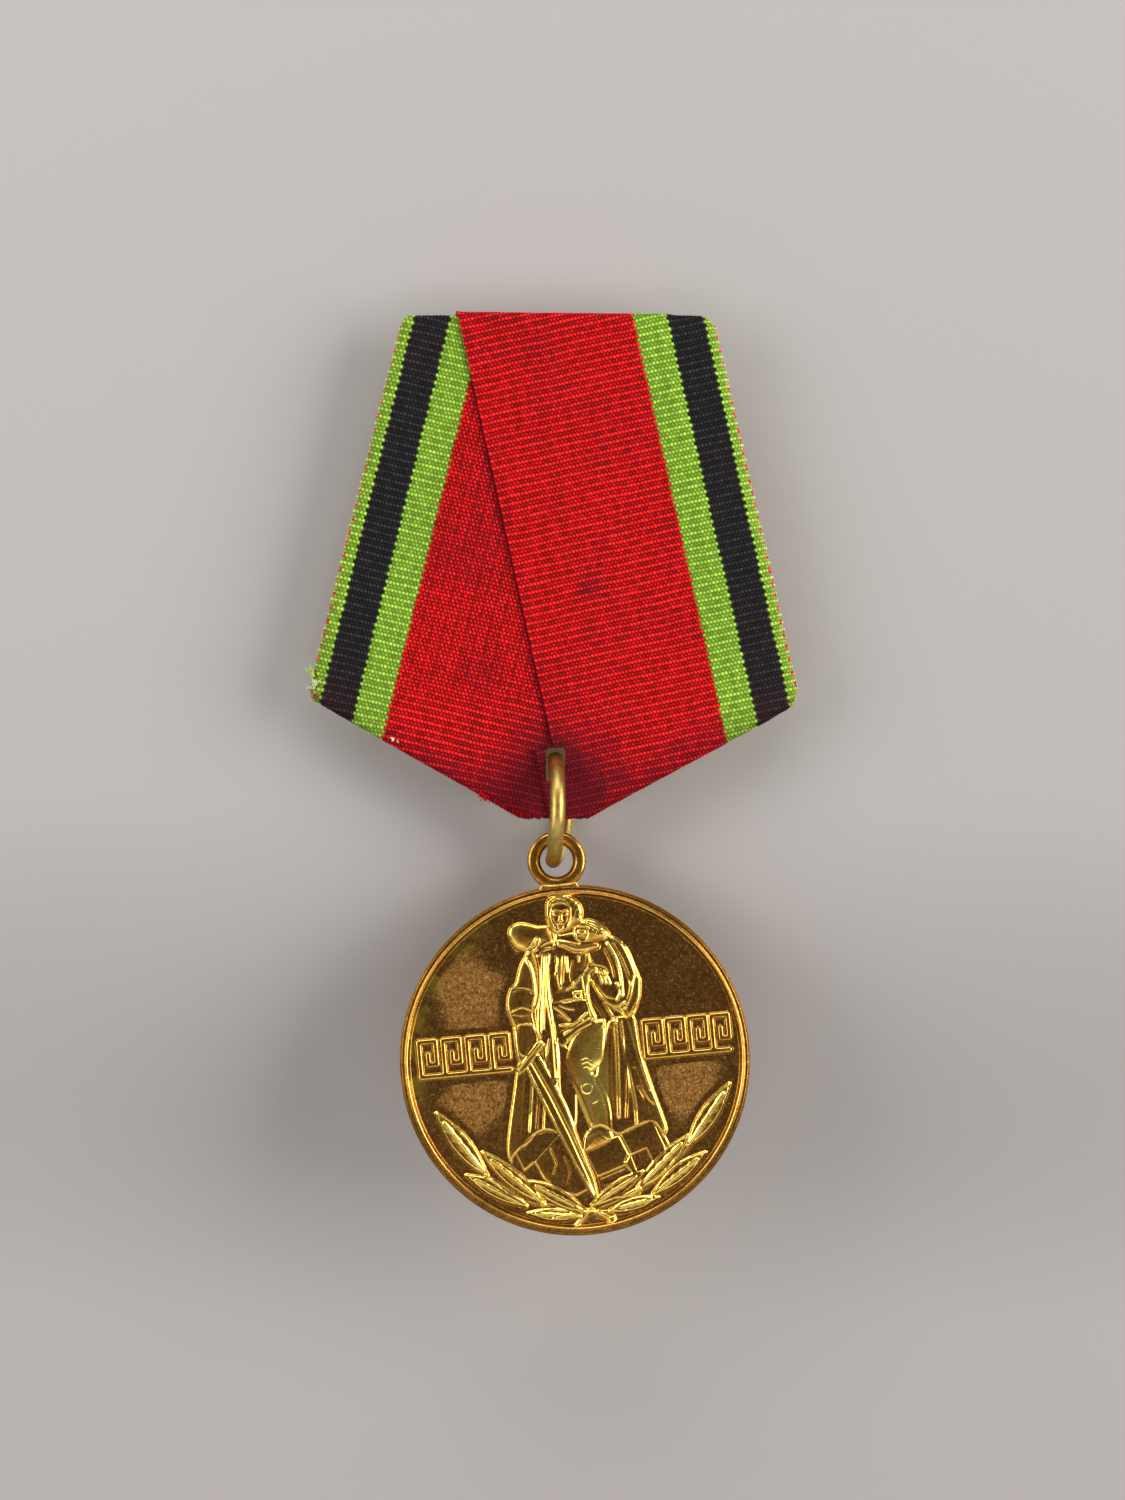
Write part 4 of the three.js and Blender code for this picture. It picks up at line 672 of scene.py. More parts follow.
P 0.23 0.13 0.04 0.45 | 9.69,-7.76 9.16,-7.95 8.42,-8.3 7.37,-8.9 6.5,-9.61 5.73,-10.44 5.1,-11.31 4.65,-12 4.77,-12.14 5.55,-11.84 6.54,-11.37 7.49,-10.75 8.31,-9.99 9.03,-9.01 9.45,-8.29
O 0.1215 0.102 | 9.69,-7.76 9.18,-7.97 8.45,-8.34 7.43,-8.97 6.56,-9.68 5.78,-10.49 5.13,-11.34 4.66,-12.01
O 0.1215 0.102 | 9.69,-7.76 9.43,-8.26 8.98,-8.95 8.23,-9.9 7.41,-10.66 6.48,-11.3 5.52,-11.8 4.76,-12.13
O 0.162 0.17 | 8.89,-8.45 6.7,-10.34 4.7,-12.07
L 0.06 -0.03 | 7.91,-9.13 8.22,-8.47
L 0.06 -0.03 | 8.09,-9.34 8.83,-9.18
L 0.06 -0.03 | 7.12,-9.82 7.42,-9.16
L 0.06 -0.03 | 7.29,-10.02 8.03,-9.87
L 0.06 -0.03 | 6.32,-10.51 6.62,-9.85
L 0.06 -0.03 | 6.5,-10.71 7.23,-10.56
P 0.24 0.13 0.04 0.45 | -13.04,-3.63 -12.93,-4.26 -12.68,-5.14 -12.2,-6.39 -11.55,-7.45 -10.74,-8.39 -9.83,-9.19 -9.1,-9.75 -8.93,-9.64 -9.18,-8.76 -9.58,-7.62 -10.14,-6.51 -10.86,-5.5 -11.81,-4.56 -12.51,-3.98
O 0.1215 0.102 | -13.04,-3.63 -12.9,-4.24 -12.62,-5.1 -12.1,-6.33 -11.45,-7.38 -10.65,-8.33 -9.78,-9.16 -9.09,-9.74
O 0.1215 0.102 | -13.04,-3.63 -12.54,-4 -11.87,-4.6 -10.95,-5.56 -10.24,-6.57 -9.66,-7.68 -9.23,-8.79 -8.95,-9.65
O 0.162 0.17 | -12.4,-4.6 -10.63,-7.27 -9.02,-9.69
L 0.06 -0.03 | -11.8,-5.78 -12.52,-5.38
L 0.06 -0.03 | -11.55,-5.61 -11.65,-4.81
L 0.06 -0.03 | -11.16,-6.75 -11.88,-6.35
L 0.06 -0.03 | -10.9,-6.58 -11.01,-5.77
L 0.06 -0.03 | -10.51,-7.72 -11.23,-7.32
L 0.06 -0.03 | -10.26,-7.55 -10.36,-6.74
P 0.24 0.13 0.04 0.45 | 13.86,-3.38 13.32,-3.65 12.61,-4.12 11.63,-4.9 10.88,-5.77 10.27,-6.76 9.82,-7.8 9.53,-8.61 9.68,-8.73 10.41,-8.27 11.32,-7.61 12.16,-6.8 12.85,-5.88 13.4,-4.75 13.71,-3.95
O 0.1215 0.102 | 13.86,-3.38 13.35,-3.67 12.67,-4.16 11.72,-4.97 10.97,-5.84 10.34,-6.82 9.86,-7.83 9.54,-8.62
O 0.1215 0.102 | 13.86,-3.38 13.68,-3.93 13.35,-4.71 12.76,-5.81 12.07,-6.73 11.25,-7.55 10.37,-8.24 9.67,-8.72
O 0.162 0.17 | 13.18,-4.22 11.31,-6.55 9.61,-8.67
L 0.06 -0.03 | 12.3,-5.08 12.44,-4.33
L 0.06 -0.03 | 12.53,-5.27 13.23,-4.97
L 0.06 -0.03 | 11.62,-5.93 11.76,-5.17
L 0.06 -0.03 | 11.85,-6.12 12.55,-5.81
L 0.06 -0.03 | 10.94,-6.78 11.08,-6.02
L 0.06 -0.03 | 11.17,-6.96 11.87,-6.66
O 0.2295 0.272 | -4.08,-12.81 -2.21,-13.44 -0.04,-13.83 2.07,-14.76
O 0.2295 0.272 | 4.69,-12.25 2.4,-13.14 0.14,-13.84 -1.36,-15.17
O 0.189 0.204 | -9.02,-9.69 -6.73,-11.74 -4.09,-12.9
O 0.189 0.204 | 9.61,-8.67 7.39,-10.85 4.87,-12.26
O 0.1755 0.221 | 0.86,-13.91 2.13,-14.12 3.32,-14.14
O 0.162 0.204 | 0.33,-13.77 1.38,-14.33 2.05,-14.94
O 0.162 0.187 | -0.42,-13.88 -1.9,-14.02 -3.2,-14.18
P 0.24 0.08 0 0.8 | 1.81,-14.55 2.29,-14.41 2.43,-14.79 2.04,-15.12 1.69,-14.9
"""

# -------------------------------------------------------------------- relief
HALF, NR = 16.0, 1281


def smooth_line(pts, closed, n=5):
    p = np.array(pts, float)
    if len(p) < 3:
        return p
    q = np.vstack([p[-1], p, p[0], p[1]]) if closed else np.vstack([2 * p[0] - p[1], p, 2 * p[-1] - p[-2]])
    out = []
    for i in range(1, len(q) - 2):
        a, b, c, d = q[i - 1], q[i], q[i + 1], q[i + 2]
        for t in np.arange(n) / n:
            out.append(0.5 * (2 * b + (c - a) * t + (2 * a - 5 * b + 4 * c - d) * t * t + (3 * b - a - 3 * c + d) * t ** 3))
    if not closed:
        out.append(p[-1])
    return np.array(out)


def line_dist(X, Y, pts, closed):
    best, odd, n = np.full(X.shape, 1e9), np.zeros(X.shape, bool), len(pts)
    for i in range(n if closed else n - 1):
        (ax, ay), (bx, by) = pts[i], pts[(i + 1) % n]
        dx, dy = bx - ax, by - ay
        t = np.clip(((X - ax) * dx + (Y - ay) * dy) / (dx * dx + dy * dy + 1e-12), 0, 1)
        best = np.minimum(best, (X - ax - t * dx) ** 2 + (Y - ay - t * dy) ** 2)
        if closed and ay != by:
            odd ^= ((ay > Y) != (by > Y)) & (X < (bx - ax) * (Y - ay) / (by - ay) + ax)
    return np.sqrt(best), odd


class Relief:
    """A height field that shapes are laid on from the back to the front."""

    def __init__(self):
        self.ax = np.linspace(-HALF, HALF, NR)
        self.H, self.step = np.zeros((NR, NR)), 2 * HALF / (NR - 1)

    def window(self, p, m):
        lo = np.floor((p.min(0) - m + HALF) / self.step).astype(int).clip(0, NR - 1)
        hi = np.ceil((p.max(0) + m + HALF) / self.step).astype(int).clip(1, NR - 1) + 1
        X, Y = np.meshgrid(self.ax[lo[0]:hi[0]], self.ax[lo[1]:hi[1]])
        return (slice(lo[1], hi[1]), slice(lo[0], hi[0])), X, Y

    def paint(self, pts, level, edge, crown=0, cw=0.8, smooth=True):
        p = smooth_line(pts, True) if smooth else np.array(pts, float)
        w, X, Y = self.window(p, edge)
        d, inside = line_dist(X, Y, p, True)
        d = np.where(inside, d, -d)
        m = sstep(d / edge + 0.5)
        d = np.maximum(d, 0)
        round_off = min(0.45 * level, 0.15) * np.exp(-d / 0.38) if crown else 0
        self.H[w] = self.H[w] * (1 - m) + (level + 2.4 * crown * (1 - np.exp(-d / min(cw, 0.9))) - round_off) * m

    def bar(self, pts, hw, level, edge):
        p = np.array(pts, float)
        w, X, Y = self.window(p, hw + edge)
        m = sstep((hw - line_dist(X, Y, p, False)[0]) / edge + 0.5)
        self.H[w] = self.H[w] * (1 - m) + level * m

    def stroke(self, pts, w, dh, closed=False, smooth=True):
        p = smooth_line(pts, closed) if smooth else np.array(pts, float)
        win, X, Y = self.window(p, 3 * w)
        self.H[win] += 0.85 * dh * np.exp(-((line_dist(X, Y, p, closed)[0] / w) ** 2) * 1.1)

    def draw(self, text, keep=None):
        for k, row in enumerate(text.strip().splitlines()):
            if keep and not keep(k):
                continue
            head, pts = row.split("|")
            kind, *par = head.split()
            par = [float(x) for x in par]
            pts = [[float(c) for c in p.split(",")] for p in pts.split()]
            if kind in "SP":
                self.paint(pts, *par, smooth=kind == "S")
            elif kind == "B":
                self.bar(pts, *par)
            else:
                w, dh = par
                self.stroke(pts, w, dh * (0.72 if w >= 0.15 else 1), closed=kind == "C", smooth=kind != "L")

    def at(self, A, u, v):
        x, y = (u + HALF) / self.step, (v + HALF) / self.step
        i, j = np.clip(np.floor(x).astype(int), 0, NR - 2), np.clip(np.floor(y).astype(int), 0, NR - 2)
        a, b = x - i, y - j
        return (A[j, i] * (1 - a) + A[j, i + 1] * a) * (1 - b) + (A[j + 1, i] * (1 - a) + A[j + 1, i + 1] * a) * b


def blur(A, s, step):
    r = int(3 * s / step) + 1
    k = np.exp(-0.5 * (np.arange(-r, r + 1) * step / s) ** 2)
    k /= k.sum()
    for ax in (0, 1):
        P = np.pad(A, [(r, r) if i == ax else (0, 0) for i in (0, 1)], mode="edge")
        A = sum(k[j] * (P[j:j + A.shape[0]] if ax == 0 else P[:, j:j + A.shape[1]]) for j in range(2 * r + 1))
    return A


def disc_grid(n, warp=0.0):
    """An n by n grid pulled onto the unit disc, its outer ring on the circle."""
    a = np.linspace(-1, 1, n)
    A, B = np.meshgrid(a, a)
    big = np.abs(A) > np.abs(B)
    r = np.where(big, A, B)
    with np.errstate(divide="ignore", invalid="ignore"):
        phi = np.where(big, math.pi / 4 * np.nan_to_num(B / A), math.pi / 2 - math.pi / 4 * np.nan_to_num(A / B))
    s = np.sign(r)
    r = np.abs(r)
    r = r + warp * (r ** 6) * (1 - r)
    return s * r * np.cos(phi), s * r * np.sin(phi)


def ring_of(n):
    """Indices of an n by n grid's outer ring, anticlockwise from its first corner."""
    k = np.arange(n - 1)
    return np.concatenate([k, k * n + n - 1, n * n - 1 - k, (n - 1 - k) * n])


RIM_TOP, FIELD = 1.2, 0.78
R_DISC = 16.0


def rim_height(r):
    """Height over the field, for the raised rim and its bead."""
    up = sstep((r - 15.00) / 0.30) * 0.35
    bead = 0.075 * np.exp(-(((r - 15.37) / 0.10) ** 2))
    edge = -0.20 * sstep((r - 15.78) / 0.22)
    step = -0.04 * sstep((r - 15.46) / 0.12)
    return up + bead + edge + step


def face_of(rel, n, side, seed):
    """One struck face: positions and attributes."""
    u, v = disc_grid(n, 0.35)
    u, v = (u * R_DISC).ravel(), (v * R_DISC).ravel()
    r = np.hypot(u, v)
    step = rel.step
    H = blur(rel.H, 0.028, step)
    on = blur((H > 0.05).astype(float), 0.05, step)
    # the mass of the figure is rounded, and nothing stands prouder than the rim
    H = H - 0.70 * np.maximum(blur(H, 0.95, step) - 0.13, 0) * on
    H = np.where(H > 0.37, 0.37 + (H - 0.37) * 0.35, H)
    gy, gx = np.gradient(H, step)
    slope = np.hypot(gx, gy)
    curve = np.clip((H - blur(H, 0.14, step)) / 0.05, -1, 1)
    wide = np.clip((H - blur(H, 0.45, step)) / 0.09, -1, 1)
    wear = np.clip(slope / 1.0, 0, 1) ** 1.05 + 0.42 * np.clip(curve, 0, 1) - 0.18 * np.clip(-curve, 0, 1)
    # painted highlight and shade on the figure: its broad swells are made lighter and its broad hollows darker
    wear = wear + on * (0.07 + 0.28 * np.clip(wide, 0, 1) - 0.24 * np.clip(-wide, 0, 1))
    # the running key and the head are less rubbed; the leg is brighter, partly wear and partly a painted highlight
    X, Z = np.meshgrid(rel.ax, rel.ax)
    key = sstep((np.abs(X - 0.2) - 5.3) / 0.6) * np.exp(-(((Z - 1.3) / 2.2) ** 4))
    head = np.exp(-(((X + 0.3) / 2.2) ** 2 + ((Z - 13.0) / 2.3) ** 2) ** 2)
    leg_wear_and_highlight = np.exp(-(((X - 1.6) / 1.6) ** 2 + ((Z + 1.6) / 4.6) ** 2) ** 2)
    wear = wear * (1 - (0.58 * key + 0.30 * head) * (side < 0)) + 0.50 * leg_wear_and_highlight * on * (side < 0)
    wear = np.clip(blur(wear, 0.018, step), 0, 1)
    near = blur((H > 0.04).astype(float), 0.42, step)
    h = rel.at(H, u, v) * sstep((15.32 - r) / 0.35)
    w = rel.at(wear, u, v) * sstep((15.30 - r) / 0.3)
    dr = (rim_height(r + 0.02) - rim_height(r - 0.02)) / 0.04
    theta = np.arctan2(v, u)
    rub = 0.62 + 0.38 * value_noise(theta * 6, r * 0, 1.0, seed + 3)
    w = np.maximum(w, np.clip(np.abs(dr) / 1.8, 0, 0.42) * rub)
    w = np.maximum(w, (1.0 * np.exp(-(((r - 15.33) / 0.075) ** 2)) + 0.06 * sstep((r - 15.46) / 0.1) + 0.22 * sstep((r - 15.90) / 0.1)) * (0.55 + 0.45 * rub))
    h = h + rim_height(r)
    # shallow dents and a slow unevenness of the field
    h = h + 0.006 * value_noise(u, v, 3.0, seed) + 0.003 * value_noise(u, v, 0.9, seed + 1)
    open_f = (1 - sstep((rel.at(near, u, v) - 0.02) / 0.16)) * (1 - sstep((r - 14.3) / 0.5))
    # the mottling is strong below both borders and left of the figure, weak above right
    place = 0.90 * np.exp(-(((u + 8.4) / 4.8) ** 2) - ((v - 7.0) / 4.6) ** 2) + 0.72 * np.exp(-(((u + 9.5) / 4.6) ** 2) - ((v + 3.2) / 2.8) ** 2)
    place = place + 0.92 * np.exp(-(((u - 9.6) / 3.6) ** 2) - ((v + 3.0) / 3.0) ** 2) + 0.34 * np.exp(-(((u - 9.0) / 3.5) ** 2) - ((v - 6.0) / 2.4) ** 2)
    place = place + 0.22 * value_noise(u, v, 4.0, seed + 5) + 0.16 * value_noise(u, v, 1.5, seed + 6)
    patch = np.clip(open_f * place, 0, 1)
    bloom = np.clip(np.exp(-(((r - 14.75) / 0.8) ** 2)) * sstep((-u - 3) / 6) * sstep((v + 4) / 4), 0, 1) * 0.9
    y = side * (FIELD + h)
    pos = np.stack([u, y, v], -1)
    return pos, {"wear": w, "patch": patch, "bloom": bloom}


def medal():
    obv = Relief()
    obv.draw(SHAPES)
    rev = Relief()
    rows = SHAPES.strip().splitlines()
    first = next(i for i, s in enumerate(rows) if s.startswith("P 0.17 0.13 "))
    rev.draw("\n".join(rows[first:]))
    for k in range(-14, 15):  # plain rays over a level bar
        a = math.radians(90 + k * 6.2)
        d = np.array([math.cos(a), math.sin(a)])
        c = np.array([0, -1.2])
        rev.stroke([c + d * 3.2, c + d * (12.6 if k % 2 == 0 else 10.4)], 0.16, 0.13, smooth=False)
    rev.bar([[-7.2, -1.9], [7.2, -1.9]], 0.34, 0.22, 0.12)
    rev.bar([[-5.2, -3.0], [5.2, -3.0]], 0.16, 0.18, 0.10)
    circle = [[2.3 * math.cos(a), -1.2 + 2.3 * math.sin(a)] for a in np.linspace(0, math.pi, 25)]
    rev.bar(circle, 0.26, 0.22, 0.12)
    n, m = 401, 201
    pf, af = face_of(obv, n, -1, 11)
    pb, ab = face_of(rev, m, 1, 31)
    qf, qb = grid_faces(n, n), grid_faces(m, m)
    rf, rb = ring_of(n), ring_of(m)
    # the edge of the disc: rings from the front's outline to the back's
    cf = pf[rf]
    ys = np.array([-0.93, -0.80, -0.4, 0.0, 0.4, 0.80])
    rr = np.array([16.0, 16.0, 15.985, 15.99, 15.985, 16.0])
    ang = np.arctan2(cf[:, 2], cf[:, 0])
    side = np.stack([np.stack([r * np.cos(ang), np.full(len(ang), y), r * np.sin(ang)], -1) for r, y in zip(rr, ys)])
    nf, nb, ns = len(pf), len(pb), len(rf)
    V = np.concatenate([pf, pb, side.reshape(-1, 3)])
    rows_ = [rf] + [nf + nb + k * ns + np.arange(ns) for k in range(len(ys))]
    Q = [qf, qb + nf]
    for a, b in zip(rows_[:-1], rows_[1:]):
        Q.append(np.stack([a, np.roll(a, -1), np.roll(b, -1), b], -1))
    last, coarse = rows_[-1], nf + rb
    i = np.arange(len(rb))
    nxt = (i + 1) % len(rb)
    f0, f1, f2 = last[2 * i], last[(2 * i + 1) % ns], last[(2 * i + 2) % ns]
    T = np.concatenate([np.stack([f0, f1, coarse[i]], -1), np.stack([f1, coarse[nxt], coarse[i]], -1), np.stack([f1, f2, coarse[nxt]], -1)])
    Q = np.concatenate(Q)
    nside = len(side.reshape(-1, 3))
    A = {k: np.concatenate([af[k], ab[k], np.full(nside, {"wear": 0.42, "patch": 0.0, "bloom": 0.0}[k])]) for k in af}
    return V, Q, T, A


def consistent(o):
    """Makes a mesh's faces all point outwards."""
    import bmesh
    b = bmesh.new()
    b.from_mesh(o.data)
    bmesh.ops.recalc_face_normals(b, faces=b.faces)
    b.to_mesh(o.data)
    b.free()
    return o


def eyelet():
    """The eyelet ring, with bevels in and out, and its foot on the rim."""
    prof = [(1.50, -0.42), (1.50, 0.42), (1.57, 0.70), (1.72, 0.88), (1.88, 0.95), (2.40, 0.95), (2.57, 0.87), (2.68, 0.62), (2.70, 0.3),
            (2.70, -0.3), (2.68, -0.62), (2.57, -0.87), (2.40, -0.95), (1.88, -0.95), (1.72, -0.88), (1.57, -0.70)]
    v, q, t = revolve(prof, (0, 0, 0), "Y", 120)
    r = np.hypot(v[:, 0], v[:, 2])
    wear = 0.16 + 0.40 * np.exp(-(((r - 2.56) / 0.12) ** 2)) + 0.34 * np.exp(-(((r - 1.76) / 0.12) ** 2)) + 0.14 * value_noise(v[:, 0], v[:, 2], 0.6, 5)
    v[:, 2] += 18.3
    v[:, 1] += 0.012 * value_noise(v[:, 0], v[:, 2], 0.8, 9)
    ring = (v, q, t, {"wear": np.clip(wear, 0, 1), "patch": np.zeros(len(v)), "bloom": np.full(len(v), 0.25)})
    # foot: a low pad with a slightly waisted outline, bevelled all round
    out = []
    for s in np.linspace(-1, 1, 15):
        out.append((2.2 * s, 15.30))
    for k in range(1, 7):
        z = 15.30 + 0.145 * k
        out.append((2.2 - 0.09 * k, z))
    for s in np.linspace(1, -1, 15):
        out.append((1.66 * s, 16.20))
    for k in range(6, 0, -1):
        out.append((-(2.2 - 0.09 * k), 15.30 + 0.145 * k))
    c = np.array(out)
    mid = c.mean(0)
    rows = []
    for y, s in ((-0.98, 0.90), (-0.92, 0.97), (-0.82, 1.0), (0.82, 1.0), (0.92, 0.97), (0.98, 0.90)):
        p = mid + (c - mid) * s
        rows.append(np.stack([p[:, 0], np.full(len(c), y), p[:, 1]], -1))
    V = np.concatenate([*rows, [[mid[0], -0.98, mid[1]], [mid[0], 0.98, mid[1]]]])
    nc = len(c)
    Q = grid_faces(6, nc, True)
    k = np.arange(nc)
    T = np.concatenate([np.stack([np.full(nc, 6 * nc), (k + 1) % nc, k], -1), np.stack([np.full(nc, 6 * nc + 1), 5 * nc + k, 5 * nc + (k + 1) % nc], -1)])
    V, Q, T = outward(V, Q, T)
    foot = (V, Q, T, {"wear": np.full(len(V), 0.5), "patch": np.zeros(len(V)), "bloom": np.zeros(len(V))})
    return ring, foot


MID_Y = -1.41
EYE = np.array([0.35, MID_Y, -25.57])
tilt = math.radians(5.9)


def hang(v):
    """From the medal's own place, its centre at the origin, to where it hangs."""
    v = np.array(v, float)
    v[:, 2] -= 18.3
    c, s = math.cos(tilt), math.sin(tilt)
    x, z = v[:, 0] * c - v[:, 2] * s, v[:, 0] * s + v[:, 2] * c
    return np.stack([x, v[:, 1], z], -1) + EYE


V, Q, T, A = medal()
parts = [(V, Q, T, A), *eyelet()]
V, Q, T, A = join([(hang(p[0]), *p[1:]) for p in parts])
disc = consistent(make("medal_disc_struck", V, Q, T, A, material=BRASS))
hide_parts("medal_disc")
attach(disc, "medal")

# ----------------------------------------------------------- suspension ring
KNOTS = np.array([[-40, 0.12], [0, 0.12], [60, 0.38], [90, 0.42], [130, 0.2], [180, 0.02], [215, 0.5], [250, 1.15], [290, 1.3], [320, 1.3]], float)


def ring_x(deg):
    i = np.clip(np.searchsorted(KNOTS[:, 0], deg), 1, len(KNOTS) - 1)
    a, b = KNOTS[i - 1], KNOTS[i]
    u = (deg - a[..., 0]) / (b[..., 0] - a[..., 0])
    return a[..., 1] + (b[..., 1] - a[..., 1]) * (u * u * (3 - 2 * u))


deg = np.linspace(-30, 310, 260)
x = ring_x(deg)
kern = np.exp(-0.5 * (np.arange(-14, 15) / 6.0) ** 2)
x = np.convolve(np.pad(x, 14, mode="edge"), kern / kern.sum(), mode="valid")
a = np.radians(deg)
path = np.stack([x, MID_Y - 4.6 * np.sin(a), -20.95 + 4.6 * np.cos(a)], -1)
wobble = 0.715 * (1 + 0.010 * np.sin(deg * 0.11) + 0.008 * value_noise(deg, deg * 0, 9.0, 3))
v, q, t = tube(path, wobble, 36)
v = v + 0.006 * np.stack([value_noise(v[:, 1], v[:, 2], 0.7, s) for s in (41, 42, 43)], -1)
ring = make("suspension_ring_wire", v, q, t, material=WIRE)
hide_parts("suspension_ring")
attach(ring, "ring")

# ------------------------------------------------------------- ribbon panels
TOP_Z, TOP_HALF, TIP_Z, TIP_HALF = 24.0, 14.1, -21.6, 3.0
LEAN = math.radians(13.1)
THREAD, PICK = 0.17, 0.345
RIBBON_W = 24.0
RED, GREEN, BLACK, LIME = lin(252, 12, 17)[:3], lin(150, 196, 60)[:3], lin(34, 33, 36)[:3], lin(166, 194, 66)[:3]
CRIMSON = lin(214, 22, 34)[:3]


def unit(a, b):
    d = np.array(b, float) - np.array(a, float)
    return d / np.linalg.norm(d)


def wrap(P, y, a, b, rho, centre_y):
    """Rolls what lies outside the line from a to b (outside is on its right) round
    a bend of radius rho. P is x, z in the plane and y the depth."""
    d = unit(a, b)
    n = np.array([d[1], -d[0]])
    e = (P - np.array(a)) @ n
    # layers nearer the middle take a tighter bend
    r = np.maximum(centre_y - y, 0.06)
    e0 = -rho
    s = e - e0  # distance past where the bend starts
    th = np.clip(s / np.maximum(rho, 1e-6), 0, math.pi)
    past = np.maximum(s - math.pi * rho, 0)
    flat = s <= 0
    out = np.where(flat, e, e0 + r * np.sin(th) - past)
    Y = np.where(flat, y, centre_y - r * np.cos(th))
    return P + (out - e)[:, None] * n, Y, s


def panel(side, y_face, y_tuck, top_z, seed):
    """One length of ribbon. side is +1 for the upper panel, on the right as seen."""
    r2 = np.random.default_rng(seed)
    dt, ds = THREAD / 2, PICK / 4
    t_lo = -1.7                         # cloth gathered in at the tip
    nt = int(round((RIBBON_W - t_lo) / dt)) + 1
    s_lo, s_hi = -9.0, 52.0
    nsr = int(round((s_hi - s_lo) / ds)) + 1
    t, s = t_lo + np.arange(nt) * dt, s_lo + np.arange(nsr) * ds
    Tm, Sm = np.meshgrid(t, s)
    T_, S_ = Tm.ravel(), Sm.ravel()
    # the weave: floats two threads wide, each over one pick, laid like bricks
    wob = 0.05 * value_noise(T_, S_, 2.6, seed) + 0.025 * value_noise(T_, S_, 0.7, seed + 1)
    row = (S_ + wob) / PICK
    j = np.floor(row).astype(int)
    sig = row - j - 0.5
    u = (T_ + 0.012 * value_noise(T_, S_, 0.9, seed + 2)) / (2 * THREAD) + 0.5 * (j % 2)
    i = np.floor(u).astype(int)
    tau = u - i - 0.5
    cell = r2.uniform(-1, 1, (257, 511))
    cv = cell[j % 257, i % 511]
    tc = np.clip((i + 0.5 - 0.5 * (j % 2)) * 2 * THREAD, 0.02, RIBBON_W - 0.02)
    at_z = top_z - S_ * math.cos(LEAN) + T_ * math.sin(LEAN)
    # every second pick is beaten in harder; on the under panel the warp shows as
    # columns instead, down to where the cloth is gathered at the tip
    cols = sstep((at_z + 12.5) / 3.0) * (tc < 15.6) if side < 0 else np.zeros(len(T_))
    rows_ = np.where(j % 2 == 0, 1.0, 0.64)
    ups = np.where(j % 2 == 0, 1.0, 0.90) * (0.82 + 0.18 * np.cos(2 * math.pi * (T_ / 0.51 + 0.16 * np.sin(2 * math.pi * S_ / 0.69))))
    strong = rows_ * (1 - cols) + ups * cols
    bump = (np.cos(math.pi * tau) ** 0.8) * (np.cos(math.pi * sig) ** 0.62)
    bump = np.nan_to_num(bump) * strong * (1 + 0.12 * cv)
    lift = 0.085 * bump
    # across the ribbon: which dye the thread on top has
    dye = np.empty((len(T_), 3))
    dye[:] = RED
    for lo, c in ((15.6, GREEN), (18.56, BLACK), (21.86, GREEN), (22.55, LIME)):
        dye[tc >= lo] = c
    spot = (tc > 22.9) & (((S_ / 1.2 + 0.15 * cv) % 1.0) < 0.38)
    dye[spot] = CRIMSON
    thread = r2.uniform(-1, 1, 400)[np.clip((tc / (2 * THREAD)).astype(int), 0, 399)]
    # painted shade: the thread colour is darkened between the raised floats, down to a set fraction for each stripe
    # where the weave is lowest
    gap_shade = np.select([tc < 15.6, tc < 18.56, tc < 21.86], [0.09, 0.26, 0.22], 0.28)
    k = sstep((bump - 0.26) / 0.60)
    # painted sheen: the tops of the floats are mixed towards a paler colour, as the silk's highlights
    painted_sheen = (0.17 * np.clip((bump - 0.62) / 0.36, 0, 1) * (1 + 0.5 * cv))[:, None]
    painted_sheen_colour = np.empty((len(T_), 3))
    painted_sheen_colour[:] = lin(255, 78, 84)[:3]
    for lo, c in ((15.6, (214, 236, 128)), (18.56, (92, 88, 92)), (21.86, (222, 240, 140))):
        painted_sheen_colour[tc >= lo] = lin(*c)[:3]
    dye *= ((1.06 + 0.10 * thread + 0.14 * cv) * (gap_shade + (1 - gap_shade) * k))[:, None]
    dye = dye * (1 - painted_sheen) + painted_sheen_colour * painted_sheen
    # the cord of the selvedge, and the weft's loops along the inner edge
    cord = np.exp(-(((T_ - 23.45) / 0.34) ** 2))
    lift = lift + cord * (0.16 + 0.06 * np.sin(2 * math.pi * S_ / 0.69))
    inner = np.exp(-((T_ / 0.30) ** 2)) * sstep((at_z + 15.4) / 0.6)
    lift = lift + inner * (0.03 + 0.035 * np.sin(2 * math.pi * S_ / 0.69))
    # flat place: T across from the inner edge, S down from the top edge
    d = np.array([side * math.sin(LEAN), -math.cos(LEAN)])
    c = np.array([side * math.cos(LEAN), math.sin(LEAN)])
    edge_wave = 0.035 * np.sin(2 * math.pi * S_ / 0.69) * (np.exp(-(T_ / 0.2) ** 2) * -1 + np.exp(-(((T_ - RIBBON_W) / 0.2) ** 2)))
    origin = np.array([-side * 9.25, top_z])
    P = origin + (T_ + edge_wave)[:, None] * c + S_[:, None] * d
    y = np.full(len(T_), y_face)
    y = y + 0.035 * value_noise(P[:, 0], P[:, 1], 7.0, seed + 4) + 0.012 * value_noise(P[:, 0], P[:, 1], 2.2, seed + 5)
    if side > 0:  # it sinks a little where the under panel no longer holds it up
        past = P[:, 0] - (9.25 - (TOP_Z - P[:, 1]) * math.tan(LEAN))
        y = y + 0.17 * sstep(past / 1.6) * sstep((P[:, 1] + 13.5) / 3)
    mid = (y_face + y_tuck) / 2
    rho = (y_tuck - y_face) / 2
    # round the long side, then over the top, then under the lower side
    top_r, wide = np.array([side * TOP_HALF, TOP_Z]), np.array([side * 22.36, -10.85])
    sgn = (lambda a, b: (a, b)) if side > 0 else (lambda a, b: (b, a))
    flatP, flaty = P.copy(), y.copy()
